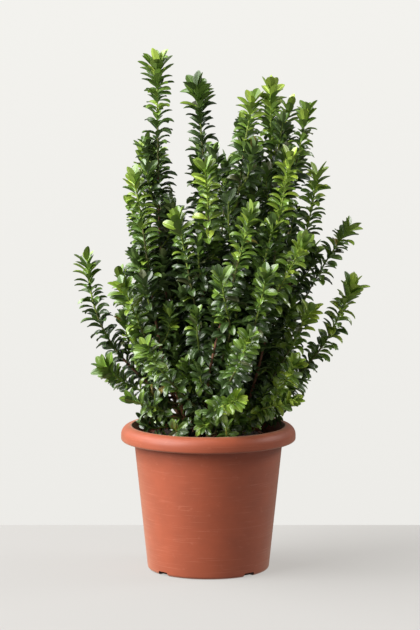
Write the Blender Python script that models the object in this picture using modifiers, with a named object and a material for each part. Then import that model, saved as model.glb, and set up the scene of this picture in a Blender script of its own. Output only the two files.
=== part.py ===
"""A potted evergreen spindle shrub: a plastic pot with a rolled lip, its compost, the main stems
of the clump, and the upright leafy shoots that make the crown. Metres, +Z up. The origin is the
middle of the pot's flat underside, and the front of the plant looks along -Y."""

import math
import random

import bmesh
import bpy
from mathutils import Matrix, Quaternion, Vector

# Pot, a turned plastic wall
POT_HEIGHT = 0.158
LIP_RADIUS = 0.095
LIP_FOOT = 0.1414
MOUTH_RADIUS = 0.0833
NECK_RADIUS = 0.0808
FOOT_RADIUS = 0.0660
WALL = 0.0022
FLOOR = 0.0035
FOOT_ROUND = 0.0035
INNER_ROUND = 0.003
CROWN_WIDTH, LIP_DROP = 0.0018, 0.0105
LIP_THICKNESS, LIP_EDGE = 0.0024, 0.0010
POT_SIDES = 40
NOTCHES = 4
NOTCH_TURN = math.radians(42)
NOTCH_TOP, NOTCH_FOOT, NOTCH_HEIGHT, NOTCH_DEPTH = 0.013, 0.018, 0.0030, 0.012

# Compost that fills the pot
SOIL_TOP = 0.1455
SOIL_EDGE = 0.1415
SOIL_FLAT = 0.046
CLEAR = 0.0003

# Main stems: an outer ring and an inner one, from the compost to the first fork
# Each ring is how many stems, the share of a step it is turned by, its radius at foot and fork
STEM_RINGS = ((7, 0.25, 0.032, 0.056), (3, 0.6, 0.011, 0.020))
STEM_FORK_HEIGHT = (0.192, 0.226)
STEM_RADIUS, STEM_FORK_RADIUS = 0.0027, 0.0019
STEM_FLARE, STEM_FLARE_SHARE = 1.5, 1 / 6
STEM_LEAN = 0.6
STEM_STEPS = 7

# Leafy shoots: where the growing tip of each one ends, as x, y, z
SHOOT_TIPS = {
    "left_spire": (-0.052, 0.000, 0.548),
    "middle_spire": (-0.008, 0.045, 0.521),
    "front_column": (-0.001, -0.062, 0.441),
    "right_crown": (0.068, 0.026, 0.515),
    "right_crown_front": (0.048, -0.026, 0.497),
    "yellow_stem": (0.087, 0.052, 0.494),
    "right_spire": (0.102, 0.004, 0.493),
    "right_column": (0.086, -0.048, 0.446),
    "right_shoulder": (0.114, -0.014, 0.424),
    "right_arm_high": (0.145, 0.012, 0.370),
    "right_bright": (0.098, -0.080, 0.360),
    "centre_bright": (0.043, -0.084, 0.390),
    "centre_right": (0.068, -0.056, 0.376),
    "centre_back": (0.020, 0.018, 0.436),
    "left_shoulder": (-0.070, 0.020, 0.450),
    "left_column": (-0.078, -0.022, 0.421),
    "left_front": (-0.031, -0.056, 0.383),
    "left_arm": (-0.127, 0.000, 0.332),
    "left_fan": (-0.089, -0.048, 0.318),
    "left_low": (-0.110, -0.036, 0.232),
    "left_skirt": (-0.064, -0.092, 0.252),
    "left_foot": (-0.078, -0.058, 0.192),
    "front_low": (0.014, -0.100, 0.326),
    "front_middle": (0.060, -0.098, 0.326),
    "right_low": (0.106, -0.050, 0.286),
    "right_arm_low": (0.152, -0.016, 0.306),
    "front_bright": (0.042, -0.122, 0.268),
    "front_skirt": (0.008, -0.112, 0.204),
    "right_skirt": (0.090, -0.072, 0.232),
    "right_foot": (0.072, -0.062, 0.192),
    "back_left_spire": (-0.058, 0.064, 0.446),
    "back_middle_spire": (-0.008, 0.088, 0.446),
    "back_crown": (0.044, 0.078, 0.470),
    "back_right_crown": (0.086, 0.096, 0.436),
}
# The far side is filled by rule: each row is how many shoots, their reach and their tip height
BACK_ROWS = ((5, 0.100, 0.402), (4, 0.140, 0.314), (3, 0.112, 0.232))
BACK_SPREAD = (math.radians(24), math.radians(156))
BACK_JITTER = (0.07, 0.010, 0.022)
SHOOT_STEP = 0.030
SHOOT_RADIUS, SHOOT_TIP_RADIUS = 0.0019, 0.0011
LEAVING, ARRIVING = 0.34, 0.42
LEAVING_RISE, ARRIVING_LEAN = 0.55, 2.2
LOWEST_FORK, HIGHEST_FORK = 0.30, 0.92
LEAN_SHARE, CROWDING = 0.5, 0.012
STRAIGHT_FOOT = 0.005
SPREAD_ROUNDS, SPREAD_ROOM, SPREAD_PUSH, SPREAD_EASE = 24, 0.014, 0.4, 0.08

# Side twigs on the lower part of a shoot
SIDE_TWIG_LENGTH, SIDE_TWIG_REACH = 0.046, 0.120
SIDE_TWIG_START, SIDE_TWIG_SPACING, SIDE_TWIG_SHARE = 0.030, 0.052, 0.6
SIDE_TWIG_RISE, SIDE_TWIG_TIP_RISE, SIDE_TWIG_GIRTH = 0.7, 0.35, 0.8
SPIRAL_TURN = 2.4

# Leaves, larger than life and fewer than the shrub's own
LEAF_LENGTH, LEAF_WIDTH, LEAF_THICKNESS = 0.034, 0.020, 0.0018
LEAF_WIDEST, LEAF_ARCH, LEAF_SUNK = 0.54, 0.0030, 0.0003
LEAF_SPACING, YOUNG_SPACING = 0.0235, 0.8
LEAF_SIZES = (1, 0.8, 0.68)
LEAF_JITTER, LEAN_JITTER, TURN_JITTER, SPACING_JITTER = (0.92, 1.06), 0.12, 0.2, 0.08
YOUNG_LENGTH, YOUNG_SIZE = 0.055, 0.68
TIP_LEAN, GROWN_LEAN = math.radians(28), math.radians(52)
FIRST_LEAF, LAST_LEAF = 0.013, 0.002
ROOT_SHARE, BODY_SHARE = 0.1, 0.75

# The room that leaves keep to
SPACE_MARGIN, SOIL_MARGIN = 0.0005, 0.002
SKIRT_RADIUS, SKIRT_HEIGHT, SKIRT_RISE = 0.076, 0.166, 0.75
SEED = 7

COLOURS = {
    "pot": ((0.55, 0.14, 0.065), 0.45),
    "soil": ((0.035, 0.022, 0.015), 0.9),
    "bark": ((0.20, 0.09, 0.045), 0.7),
    "leaf": ((0.035, 0.13, 0.018), 0.35),
}


def material(name):
    """A Principled finish from COLOURS, made once."""
    found = bpy.data.materials.get(name)
    if found:
        return found
    made = bpy.data.materials.new(name)
    made.use_nodes = True
    shader = made.node_tree.nodes["Principled BSDF"]
    colour, roughness = COLOURS[name]
    shader.inputs["Base Color"].default_value = (*colour, 1)
    shader.inputs["Roughness"].default_value = roughness
    shader.inputs["Metallic"].default_value = 0
    return made


def collection(name):
    made = bpy.data.collections.new(name)
    bpy.context.scene.collection.children.link(made)
    return made


def clear_scene():
    for old in list(bpy.data.objects):
        bpy.data.objects.remove(old, do_unlink=True)


def mesh_object(name, mesh, into, finish):
    made = bpy.data.objects.new(name, mesh)
    into.objects.link(made)
    mesh.materials.clear()
    mesh.materials.append(material(finish))
    return made


def turned(name, profile, into, finish, sides=POT_SIDES):
    """A solid turned about Z from (radius, height) points that run down its outer side."""
    form = bmesh.new()
    points = [form.verts.new((radius, 0, height)) for radius, height in profile]
    for one, other in zip(points, points[1:]):
        form.edges.new((one, other))
    mesh = bpy.data.meshes.new(name)
    form.to_mesh(mesh)
    form.free()
    made = mesh_object(name, mesh, into, finish)
    screw = made.modifiers.new("Turn", "SCREW")
    screw.steps = screw.render_steps = sides
    screw.use_merge_vertices = True
    screw.merge_threshold = 0.00001
    screw.use_smooth_shade = True
    return made


def wall_radius(height):
    """The outer radius of the pot's tapered body."""
    return FOOT_RADIUS + (NECK_RADIUS - FOOT_RADIUS) * height / LIP_FOOT


def lip_profile():
    """From the mouth's inner edge over the rolled lip, and up under it to the body."""
    crown = MOUTH_RADIUS + CROWN_WIDTH
    reach = LIP_RADIUS - crown
    mouth = (MOUTH_RADIUS, POT_HEIGHT - LIP_EDGE)
    arc = [math.radians(a) for a in (90, 66, 44, 22, 0)]
    over = [(crown + reach * math.cos(a), POT_HEIGHT - LIP_DROP * (1 - math.sin(a))) for a in arc]
    skirt = [(LIP_RADIUS, LIP_FOOT + LIP_EDGE), (LIP_RADIUS - LIP_EDGE, LIP_FOOT)]
    inner = LIP_RADIUS - LIP_THICKNESS
    under = [(inner, LIP_FOOT), (inner, POT_HEIGHT - LIP_DROP), (crown, POT_HEIGHT - 2 * LIP_THICKNESS)]
    return [mouth, *over, *skirt, *under, (NECK_RADIUS, LIP_FOOT + LIP_THICKNESS)]


def pot_profile():
    """From the middle of the floor inside, up over the lip, and down the outside to the sole."""
    inner_foot = wall_radius(FLOOR) - WALL
    inside = [(0, FLOOR), (inner_foot - INNER_ROUND, FLOOR), (inner_foot, FLOOR + INNER_ROUND)]
    neck = [(NECK_RADIUS - WALL, LIP_FOOT)]
    low = FOOT_ROUND * 0.3
    sole = [(wall_radius(FOOT_ROUND), FOOT_ROUND), (FOOT_RADIUS - low, low), (FOOT_RADIUS - FOOT_ROUND, 0)]
    return [*inside, *neck, *lip_profile(), *sole, (0, 0)]


def notch_cutter(turn, into):
    """A wedge that is wider at the floor, for one drainage notch in the pot's foot."""
    form = bmesh.new()
    bmesh.ops.create_cube(form, size=1)
    for point in form.verts:
        low = point.co.z < 0
        point.co.x *= NOTCH_FOOT if low else NOTCH_TOP
        point.co.y = point.co.y * 2 * NOTCH_DEPTH - FOOT_RADIUS
        point.co.z = -NOTCH_HEIGHT if low else NOTCH_HEIGHT
    mesh = bpy.data.meshes.new("notch")
    form.to_mesh(mesh)
    form.free()
    cutter = bpy.data.objects.new("notch_cutter", mesh)
    into.objects.link(cutter)
    cutter.rotation_euler.z = turn
    cutter.hide_render = True
    cutter.display_type = "WIRE"
    return cutter


def make_pot(into, cutters):
    pot = turned("pot", pot_profile(), into, "pot")
    for k in range(NOTCHES):
        cut = pot.modifiers.new(f"Notch {k + 1}", "BOOLEAN")
        cut.operation = "DIFFERENCE"
        cut.object = notch_cutter(NOTCH_TURN + k * math.tau / NOTCHES, cutters)


def make_soil(into):
    """Compost, a sliver clear of the pot all round, with a level patch where the stems stand."""
    slack = 2 * CLEAR
    edge = NECK_RADIUS - WALL - slack - (LIP_FOOT - SOIL_EDGE) * (NECK_RADIUS - FOOT_RADIUS) / LIP_FOOT
    foot = wall_radius(FLOOR) - WALL - slack
    bottom = FLOOR + CLEAR
    inside = [(edge, SOIL_EDGE), (foot, bottom + INNER_ROUND), (foot - INNER_ROUND, bottom)]
    turned("soil", [(0, SOIL_TOP), (SOIL_FLAT, SOIL_TOP), *inside, (0, bottom)], into, "soil")


def limb_line(foot, leaving, end, arriving, steps):
    """A straight foot, and then a cubic curve that arrives along the given direction."""
    start = foot + leaving * STRAIGHT_FOOT
    reach = (end - start).length
    first = start + leaving * reach * LEAVING
    last = end - arriving * reach * ARRIVING
    points = [foot]
    for k in range(steps + 1):
        t = k / steps
        s = 1 - t
        points.append(start * s**3 + first * 3 * s * s * t + last * 3 * s * t * t + end * t**3)
    return points


def tube(name, points, radii, section=None):
    """A closed tapering tube along points, as a mesh. A section gives it fewer sides."""
    data = bpy.data.curves.new(name, "CURVE")
    data.dimensions = "3D"
    spline = data.splines.new("POLY")
    spline.points.add(len(points) - 1)
    for slot, place, radius in zip(spline.points, points, radii):
        slot.co = (*place, 1)
        slot.radius = radius
    if section:
        data.bevel_mode = "OBJECT"
        data.bevel_object = section
    else:
        data.bevel_depth = 1
        data.bevel_resolution = 1
    data.use_fill_caps = True
    guide = bpy.data.objects.new(name, data)
    bpy.context.scene.collection.objects.link(guide)
    bpy.context.view_layer.update()
    graph = bpy.context.evaluated_depsgraph_get()
    mesh = bpy.data.meshes.new_from_object(guide.evaluated_get(graph))
    bpy.data.objects.remove(guide)
    form = bmesh.new()
    form.from_mesh(mesh)
    bmesh.ops.remove_doubles(form, verts=form.verts, dist=0.00001)
    bmesh.ops.recalc_face_normals(form, faces=form.faces)
    form.to_mesh(mesh)
    form.free()
    return mesh


def three_sides(into):
    """The triangle that a twig is swept from."""
    data = bpy.data.curves.new("three_sides", "CURVE")
    data.dimensions = "2D"
    spline = data.splines.new("POLY")
    spline.points.add(2)
    for slot, turn in zip(spline.points, (90, 210, 330)):
        slot.co = (math.cos(math.radians(turn)), math.sin(math.radians(turn)), 0, 1)
    spline.use_cyclic_u = True
    guide = bpy.data.objects.new("three_sides", data)
    into.objects.link(guide)
    guide.hide_render = True
    guide.display_type = "WIRE"
    return guide


class Stem:
    """One main stem of the clump, from the compost to its fork."""

    def __init__(self, number, turn, foot_ring, fork_ring):
        chance = random.Random(SEED * 100 + number)
        out = Vector((math.cos(turn), math.sin(turn), 0))
        up = Vector((0, 0, 1))
        foot = out * foot_ring + up * (SOIL_TOP + CLEAR)
        fork = out * fork_ring + up * chance.uniform(*STEM_FORK_HEIGHT)
        self.name = f"stem_{number}"
        self.points = limb_line(foot, up, fork, (out * STEM_LEAN + up).normalized(), STEM_STEPS - 1)
        self.radii = [self.radius_at(k / STEM_STEPS) for k in range(STEM_STEPS + 1)]

    def radius_at(self, share):
        flare = 1 + (STEM_FLARE - 1) * max(0, 1 - share / STEM_FLARE_SHARE)
        return (STEM_RADIUS + (STEM_FORK_RADIUS - STEM_RADIUS) * share) * flare

    def at(self, share):
        """The place and the heading at this share of the steps, short of the fork."""
        k = int(share * STEM_STEPS)
        one, other = self.points[k:k + 2]
        return one.lerp(other, share * STEM_STEPS - k), (other - one).normalized()


def make_stems():
    stems = []
    for count, shift, foot_ring, fork_ring in STEM_RINGS:
        for k in range(count):
            stems.append(Stem(len(stems) + 1, math.tau * (k + shift) / count, foot_ring, fork_ring))
    return stems


def all_tips():
    """The named tips, and those of the far side by rule."""
    tips = {name: Vector(place) for name, place in SHOOT_TIPS.items()}
    chance = random.Random(SEED)
    for count, reach, height in BACK_ROWS:
        for k in range(count):
            share = (k + 0.5) / count
            turn = BACK_SPREAD[0] + (BACK_SPREAD[1] - BACK_SPREAD[0]) * share
            turn += chance.uniform(-1, 1) * BACK_JITTER[0]
            out = reach + chance.uniform(-1, 1) * BACK_JITTER[1]
            rise = height + chance.uniform(-1, 1) * BACK_JITTER[2]
            number = len(tips) - len(SHOOT_TIPS) + 1
            tips[f"back_{number}"] = Vector((out * math.cos(turn), out * math.sin(turn), rise))
    return tips


class Shoot:
    """One leafy shoot: its name, its foot beside a stem, and the line it grows along."""

    def __init__(self, name, foot, leaving, tip):
        out = Vector((tip.x, tip.y, 0))
        self.name = name
        arriving = (Vector((0, 0, 1)) + out * ARRIVING_LEAN).normalized()
        steps = max(2, round((tip - foot).length / SHOOT_STEP))
        self.points = limb_line(foot, leaving, tip, arriving, steps)

    def length(self):
        return sum((b - a).length for a, b in zip(self.points, self.points[1:]))

    def radii(self):
        last = len(self.points) - 1
        return [SHOOT_RADIUS + (SHOOT_TIP_RADIUS - SHOOT_RADIUS) * k / last for k in range(last + 1)]

    def at(self, distance):
        """The place and the heading this far along."""
        for a, b in zip(self.points, self.points[1:]):
            span = (b - a).length
            if distance <= span or b is self.points[-1]:
                return a + (b - a) * (distance / span), (b - a).normalized()
            distance -= span


def share_out(stems, tips):
    """Each shoot goes to the stem that leans its way: {stem: [(name, tip), lowest first]}."""
    shared = {stem: [] for stem in stems}
    for name, tip in tips.items():
        lean = tip.xy * LEAN_SHARE
        costs = {s: (s.points[-1].xy - lean).length + CROWDING * len(shared[s]) for s in stems}
        shared[min(costs, key=costs.get)].append((name, tip))
    for held in shared.values():
        held.sort(key=lambda row: row[1].z)
    return shared


def grow_shoots(stems):
    """The highest shoot goes on from its stem's fork, the others leave its side below."""
    shoots = []
    for stem, held in share_out(stems, all_tips()).items():
        if not held:
            continue
        heading = (stem.points[-1] - stem.points[-2]).normalized()
        name, tip = held[-1]
        shoots.append(Shoot(name, stem.points[-1] + heading * CLEAR, heading, tip))
        for k, (name, tip) in enumerate(held[:-1]):
            share = LOWEST_FORK + (HIGHEST_FORK - LOWEST_FORK) * (k + 0.5) / (len(held) - 1)
            side, along = stem.at(share)
            away = tip - side
            away = (away - along * away.dot(along)).normalized()
            leaving = (away + along * LEAVING_RISE).normalized()
            clear = stem.radius_at(share) + CLEAR + SHOOT_RADIUS * leaving.dot(along)
            shoots.append(Shoot(name, side + away * clear, leaving, tip))
    spread(shoots)
    return shoots


def way_to(points, place):
    """The shortest way from a line through points to a place, as a vector."""
    ways = []
    for a, b in zip(points, points[1:]):
        span = b - a
        t = max(0, min(1, (place - a).dot(span) / span.length_squared))
        ways.append(place - a - span * t)
    return min(ways, key=lambda way: way.length_squared)


def spread(shoots):
    """Shoots bend away from their neighbours, the more the further from their feet."""
    for _ in range(SPREAD_ROUNDS):
        for shoot in shoots:
            line = shoot.points
            last = len(line) - 1
            for k in range(2, last):
                room = SPREAD_ROOM * min(1, 2 * k / last)
                push = (line[k - 1] + line[k + 1] - line[k] * 2) * SPREAD_EASE
                for other in shoots:
                    way = way_to(other.points, line[k])
                    if other is not shoot and way.length < room:
                        push += way.normalized() * (room - way.length) * SPREAD_PUSH
                line[k] = line[k] + push


class Space:
    """The room a shoot keeps to: nearer to its own line than to any other, and off the stems."""

    def __init__(self, shoot, shoots, stems):
        self.own = shoot.points
        low, high = bounds(shoot.points, 2 * LEAF_LENGTH)
        self.others = [s.points for s in shoots if s is not shoot and meets(s.points, low, high)]
        self.stems = [s for s in stems if meets(s.points, low, high)]

    def holds(self, place):
        if place.z < SOIL_TOP + SOIL_MARGIN:
            return False
        past_skirt = place.xy.length - SKIRT_RADIUS
        if past_skirt > 0 and place.z < SKIRT_HEIGHT + past_skirt * SKIRT_RISE:
            return False
        near = way_to(self.own, place).length + SPACE_MARGIN
        if any(way_to(points, place).length < near for points in self.others):
            return False
        room = STEM_RADIUS * STEM_FLARE + SPACE_MARGIN
        return all(way_to(stem.points, place).length > room for stem in self.stems)


def bounds(points, margin):
    low = Vector([min(p[k] for p in points) - margin for k in range(3)])
    high = Vector([max(p[k] for p in points) + margin for k in range(3)])
    return low, high


def meets(points, low, high):
    other_low, other_high = bounds(points, 0)
    return all(other_low[k] <= high[k] and low[k] <= other_high[k] for k in range(3))


def leaf_form():
    """A pointed blade of eight faces: base at the origin, tip along +Z, upper face to +Y."""
    form = bmesh.new()
    bmesh.ops.create_uvsphere(form, u_segments=4, v_segments=2, radius=1)
    for point in form.verts:
        across, through, along = point.co
        ring = abs(along) < 0.5
        point.co.x = across * LEAF_WIDTH / 2
        point.co.y = through * LEAF_THICKNESS / 2 + (LEAF_ARCH if ring else 0)
        point.co.z = LEAF_LENGTH * (LEAF_WIDEST if ring else (along + 1) / 2)
    mesh = bpy.data.meshes.new("leaf")
    form.to_mesh(mesh)
    form.free()
    return mesh


def leaf_frame(place, heading, turn, lean, size):
    """Where a leaf sits: turned about the shoot, and leaning out from it."""
    out = heading.orthogonal().normalized()
    out.rotate(Quaternion(heading, turn))
    axis = heading * math.cos(lean) + out * math.sin(lean)
    upper = heading * math.sin(lean) - out * math.cos(lean)
    across = upper.cross(axis)
    frame = Matrix((across, upper, axis)).transposed().to_4x4()
    frame.translation = place - axis * LEAF_SUNK
    return frame @ Matrix.Scale(size, 4)


def fits(space, frame, mesh):
    """Every point of the leaf past its root, and its middle, lies in the shoot's space."""
    ends = [frame @ v.co for v in mesh.vertices if v.co.z > LEAF_LENGTH * ROOT_SHARE]
    return all(space.holds(p) for p in [*ends, frame @ Vector((0, 0, LEAF_LENGTH * BODY_SHARE))])


def leaf_frames(line, space, leaf, chance):
    """Crossed pairs of leaves down a line from its tip, as frames."""
    frames = []
    turn = chance.uniform(0, math.tau)
    length = line.length()
    distance = length - LAST_LEAF
    while distance > FIRST_LEAF:
        place, heading = line.at(distance)
        grown = min(1, (length - distance) / YOUNG_LENGTH)
        lean = TIP_LEAN + (GROWN_LEAN - TIP_LEAN) * grown
        for side in (0, math.pi):
            full = (YOUNG_SIZE + (1 - YOUNG_SIZE) * grown) * chance.uniform(*LEAF_JITTER)
            tilt = lean + chance.uniform(-1, 1) * LEAN_JITTER
            for share in LEAF_SIZES:
                frame = leaf_frame(place, heading, turn + side, tilt, full * share)
                if fits(space, frame, leaf):
                    frames.append(frame)
                    break
        closeness = YOUNG_SPACING + (1 - YOUNG_SPACING) * grown
        distance -= LEAF_SPACING * closeness * (1 + chance.uniform(-1, 1) * SPACING_JITTER)
        turn += math.pi / 2 + chance.uniform(-1, 1) * TURN_JITTER
    return frames


def side_twigs(shoot, space, chance):
    """Short twigs from the lower half of a shoot, where its space has room for them."""
    twigs = []
    distance = SIDE_TWIG_START
    turn = chance.uniform(0, math.tau)
    while distance < shoot.length() * SIDE_TWIG_SHARE:
        place, heading = shoot.at(distance)
        out = heading.orthogonal().normalized()
        out.rotate(Quaternion(heading, turn))
        leaving = (out + heading * SIDE_TWIG_RISE).normalized()
        length = SIDE_TWIG_LENGTH * chance.uniform(0.75, 1.15)
        tip = place + (leaving + heading * SIDE_TWIG_TIP_RISE).normalized() * length
        inside = tip.xy.length < SIDE_TWIG_REACH
        if inside and space.holds(tip) and space.holds(place.lerp(tip, 0.6)):
            twigs.append(Shoot("twig", place, leaving, tip))
        distance += SIDE_TWIG_SPACING * chance.uniform(0.8, 1.2)
        turn += SPIRAL_TURN
    return twigs


def join_all(whole, pieces):
    """One union of a stem with its twigs and leaves, applied, with the pieces then removed."""
    held = bpy.data.collections.new("pieces")
    for piece in pieces:
        held.objects.link(piece)
    joined = whole.modifiers.new("Join", "BOOLEAN")
    joined.operation = "UNION"
    joined.operand_type = "COLLECTION"
    joined.collection = held
    joined.solver = "EXACT"
    bpy.context.view_layer.update()
    graph = bpy.context.evaluated_depsgraph_get()
    mesh = bpy.data.meshes.new_from_object(whole.evaluated_get(graph))
    whole.modifiers.clear()
    whole.data = mesh
    for piece in pieces:
        bpy.data.objects.remove(piece)
    bpy.data.collections.remove(held)


def make_foliage(number, shoot, space, leaf, section, into):
    """One mass: the shoot, its side twigs and their leaves, joined in one solid."""
    chance = random.Random(SEED * 1000 + number)
    whole = mesh_object(shoot.name, tube(shoot.name, shoot.points, shoot.radii(), section), into, "leaf")
    frames = leaf_frames(shoot, space, leaf, chance)
    pieces = []
    for twig in side_twigs(shoot, space, chance):
        thin = [radius * SIDE_TWIG_GIRTH for radius in twig.radii()]
        pieces.append(bpy.data.objects.new("twig", tube("twig", twig.points, thin, section)))
        frames += leaf_frames(twig, space, leaf, chance)
    for frame in frames:
        mesh = leaf.copy()
        mesh.transform(frame)
        pieces.append(bpy.data.objects.new("leaf", mesh))
    join_all(whole, pieces)
    return len(frames)


def main():
    clear_scene()
    plant = collection("potted_spindle_shrub")
    helpers = collection("cutters")
    make_pot(plant, helpers)
    make_soil(plant)
    section = three_sides(helpers)
    stems = make_stems()
    for stem in stems:
        mesh_object(stem.name, tube(stem.name, stem.points, stem.radii), plant, "bark")
    shoots = grow_shoots(stems)
    leaf = leaf_form()
    leaves = 0
    for number, shoot in enumerate(shoots):
        leaves += make_foliage(number, shoot, Space(shoot, shoots, stems), leaf, section, plant)
    print(len(shoots), "shoots,", leaves, "leaves")


main()
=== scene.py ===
"""The looks of a potted evergreen spindle shrub, laid out as a Blender add-on and run as a script.

A spun plastic pot, its crumbly compost, ten barked stems and the leafy shoots of the crown are modelled
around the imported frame, and stand in a plain pale studio. Metres, +Z up. The origin is the middle of the
pot's flat underside, and the front of the plant looks along -Y."""

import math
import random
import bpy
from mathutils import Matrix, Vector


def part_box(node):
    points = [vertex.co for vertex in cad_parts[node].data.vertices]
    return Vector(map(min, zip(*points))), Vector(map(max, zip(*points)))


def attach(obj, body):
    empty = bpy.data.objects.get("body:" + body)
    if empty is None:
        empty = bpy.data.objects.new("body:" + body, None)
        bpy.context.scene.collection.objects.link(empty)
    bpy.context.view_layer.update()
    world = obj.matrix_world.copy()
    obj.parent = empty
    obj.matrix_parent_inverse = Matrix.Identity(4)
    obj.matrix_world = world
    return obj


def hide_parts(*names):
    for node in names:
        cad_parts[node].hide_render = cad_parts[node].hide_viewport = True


bl_info = {
    "name": "Potted Spindle Shrub",
    "version": (1, 0, 0),
    "blender": (4, 5, 0),
    "location": "3D View > Sidebar > Shrub",
    "description": "Models a potted evergreen spindle shrub: pot, compost, stems, twigs and leaves",
    "category": "Object",
}

from dataclasses import dataclass
from typing import NamedTuple

import bpy
import numpy as np
from bpy.props import FloatProperty, FloatVectorProperty, IntProperty, PointerProperty
from bpy.types import Operator, Panel, PropertyGroup
from mathutils import Matrix, Quaternion, Vector, noise

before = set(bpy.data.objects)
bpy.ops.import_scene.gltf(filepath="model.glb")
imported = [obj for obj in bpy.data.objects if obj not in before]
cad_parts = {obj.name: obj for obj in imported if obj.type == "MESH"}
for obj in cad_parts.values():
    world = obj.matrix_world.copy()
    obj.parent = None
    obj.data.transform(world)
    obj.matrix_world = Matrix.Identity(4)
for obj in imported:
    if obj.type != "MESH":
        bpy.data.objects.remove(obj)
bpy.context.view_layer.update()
POT_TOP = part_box("pot")[1]
SOIL_FOOT, SOIL_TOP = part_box("soil")
UP = Vector((0, 0, 1))
# Where the plant is seen from
EYE = Vector((0.0018, -3.2, 0.68))
SEED = 7


def between(low, high, part):
    """The value at this part of the way from low to high."""
    return low + (high - low) * part


# Settings that a user would change

def number(name, description, default, **more):
    return FloatProperty(name=name, description=description, default=default, **more)


def size(*facts):
    return number(*facts, min=0, unit="LENGTH", precision=4)


def share(*facts):
    return number(*facts, min=0, subtype="FACTOR")


def power(*facts):
    return number(*facts, min=0, unit="POWER")


def angle(name, description, degrees):
    return number(name, description, math.radians(degrees), subtype="ANGLE")


def colour(name, description, default):
    facts = {"name": name, "description": description, "default": default}
    return FloatVectorProperty(**facts, min=0, max=1, subtype="COLOR")


class PotSettings(PropertyGroup):
    height: size("Height", "Height of the pot over the floor", POT_TOP.z)
    lip_radius: size("Lip radius", "Outer radius of the rolled lip", POT_TOP.x)
    lip_foot: size("Lip foot", "Height of the lip's lower edge", 0.1414)
    lip_drop: size("Lip drop", "How far the roll of the lip falls to its side", 0.0105)
    lip_round: size("Lip rounding", "Rounding of the lip's lower edge", 0.0026)
    mouth_radius: size("Mouth radius", "Radius of the opening inside the lip", 0.0833)
    neck_radius: size("Neck radius", "Outer radius of the wall under the lip", 0.0808)
    foot_radius: size("Foot radius", "Outer radius of the wall at the floor", 0.0660)
    foot_round: size("Foot rounding", "Rounding of the foot's outer edge", 0.0035)
    wall: size("Wall", "Thickness of the wall", 0.0022)
    floor: size("Floor", "Thickness of the floor", 0.0035)
    notch_width: size("Notch width", "Width of a drainage notch at its top", 0.013)
    notch_height: size("Notch height", "Height of a drainage notch", 0.0042)
    notch_depth: size("Notch depth", "How far a drainage notch is cut inwards", 0.0075)
    notch_turn: angle("Notch turn", "Where the first drainage notch is cut", 42)
    # Painted shade: the notches' cut faces get this near black colour in place of the shade that falls
    # inside them
    notch_shade: colour("Notch shade", "Dull plastic inside the notches", (0.040, 0.012, 0.008))
    plastic: colour("Plastic", "Terracotta colour of the plastic", (0.392, 0.079, 0.030))
    streaks: colour("Streaks", "Paler colour of the fine turning lines", (0.62, 0.22, 0.13))


class CompostSettings(PropertyGroup):
    crumbs: IntProperty(name="Crumbs", description="How many loose crumbs lie on it", default=900, min=0)
    crumb: size("Crumb", "Length of a usual crumb", 0.0034)
    relief: size("Relief", "How far the surface rises and falls", 0.0022)
    peat: colour("Peat", "Colour of the damp compost", (0.022, 0.013, 0.009))
    bark_bits: colour("Bark bits", "Colour of the reddish bits in it", (0.16, 0.055, 0.03))
    fibres: colour("Fibres", "Colour of the pale fibrous crumbs", (0.19, 0.12, 0.07))


class StemSettings(PropertyGroup):
    radius: size("Radius", "Radius of a main stem above its flare", 0.0027)
    fork_radius: size("Fork radius", "Radius of a main stem at its fork", 0.0019)
    relief: size("Relief", "Depth of the furrows in the bark", 0.0003)
    bark: colour("Bark", "Colour of the ridges of the bark", (0.46, 0.205, 0.098))
    furrows: colour("Furrows", "Colour between the ridges", (0.11, 0.050, 0.028))


class ShootSettings(PropertyGroup):
    radius: size("Radius", "Radius of a shoot where it leaves its stem", 0.0017)
    tip_radius: size("Tip radius", "Radius of a shoot at its growing tip", 0.0008)
    tip_growth: size("Tip growth", "How far a shoot grows on past the frame's own line", 0.003)
    twig_length: size("Twig length", "Usual length of a side twig", 0.062)
    twig_spacing: size("Twig spacing", "Distance between side twigs on a shoot", 0.021)
    clean_tip: size("Clean tip", "Length of a shoot's end that no side twig reaches", 0.080)
    low_twig_length: size("Low twig length", "Usual length of the twigs on the main stems", 0.046)
    low_twig_spacing: size("Low twig spacing", "Distance between twigs on a main stem", 0.0092)
    green: colour("Green", "Colour of the youngest wood", (0.26, 0.34, 0.055))
    olive: colour("Olive", "Colour of last year's wood", (0.13, 0.13, 0.035))
    brown: colour("Brown", "Colour of older wood", (0.20, 0.085, 0.045))
    yellow: colour("Yellow", "Bark of the one shoot that is yellow", (0.58, 0.48, 0.05))


class LeafSettings(PropertyGroup):
    length: size("Length", "Length of a grown leaf", 0.0212)
    width: share("Width", "Width of a leaf as a share of its length", 0.44)
    thickness: size("Thickness", "Thickness at the midrib", 0.0006)
    spacing: size("Spacing", "Distance between pairs of grown leaves", 0.0039)
    tip_spacing: size("Tip spacing", "Distance between pairs at the growing tip", 0.0020)
    rosette: size("Rosette", "Length of a tip whose leaves are still opening", 0.026)
    tip_size: share("Tip size", "Size of the youngest leaves as a share of grown ones", 0.90)
    tip_lean: angle("Tip lean", "How far the youngest leaves lean from their shoot", 28)
    grown_lean: angle("Grown lean", "How far grown leaves leave their shoot", 50)
    lime: colour("Lime", "Newest leaves", (0.30, 0.40, 0.040))
    spring: colour("Spring green", "Young leaves on a bright shoot", (0.205, 0.305, 0.032))
    fresh: colour("Fresh green", "Young leaves", (0.125, 0.215, 0.023))
    mid: colour("Mid green", "Grown leaves", (0.072, 0.137, 0.018))
    deep: colour("Deep green", "Older leaves", (0.047, 0.088, 0.019))
    dark: colour("Dark green", "Oldest leaves", (0.028, 0.055, 0.012))
    weathered: colour("Weathered", "Dull old leaves inside the crown", (0.085, 0.098, 0.036))
    yellowed: colour("Yellowed", "The odd leaf about to fall", (0.27, 0.21, 0.032))


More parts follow.
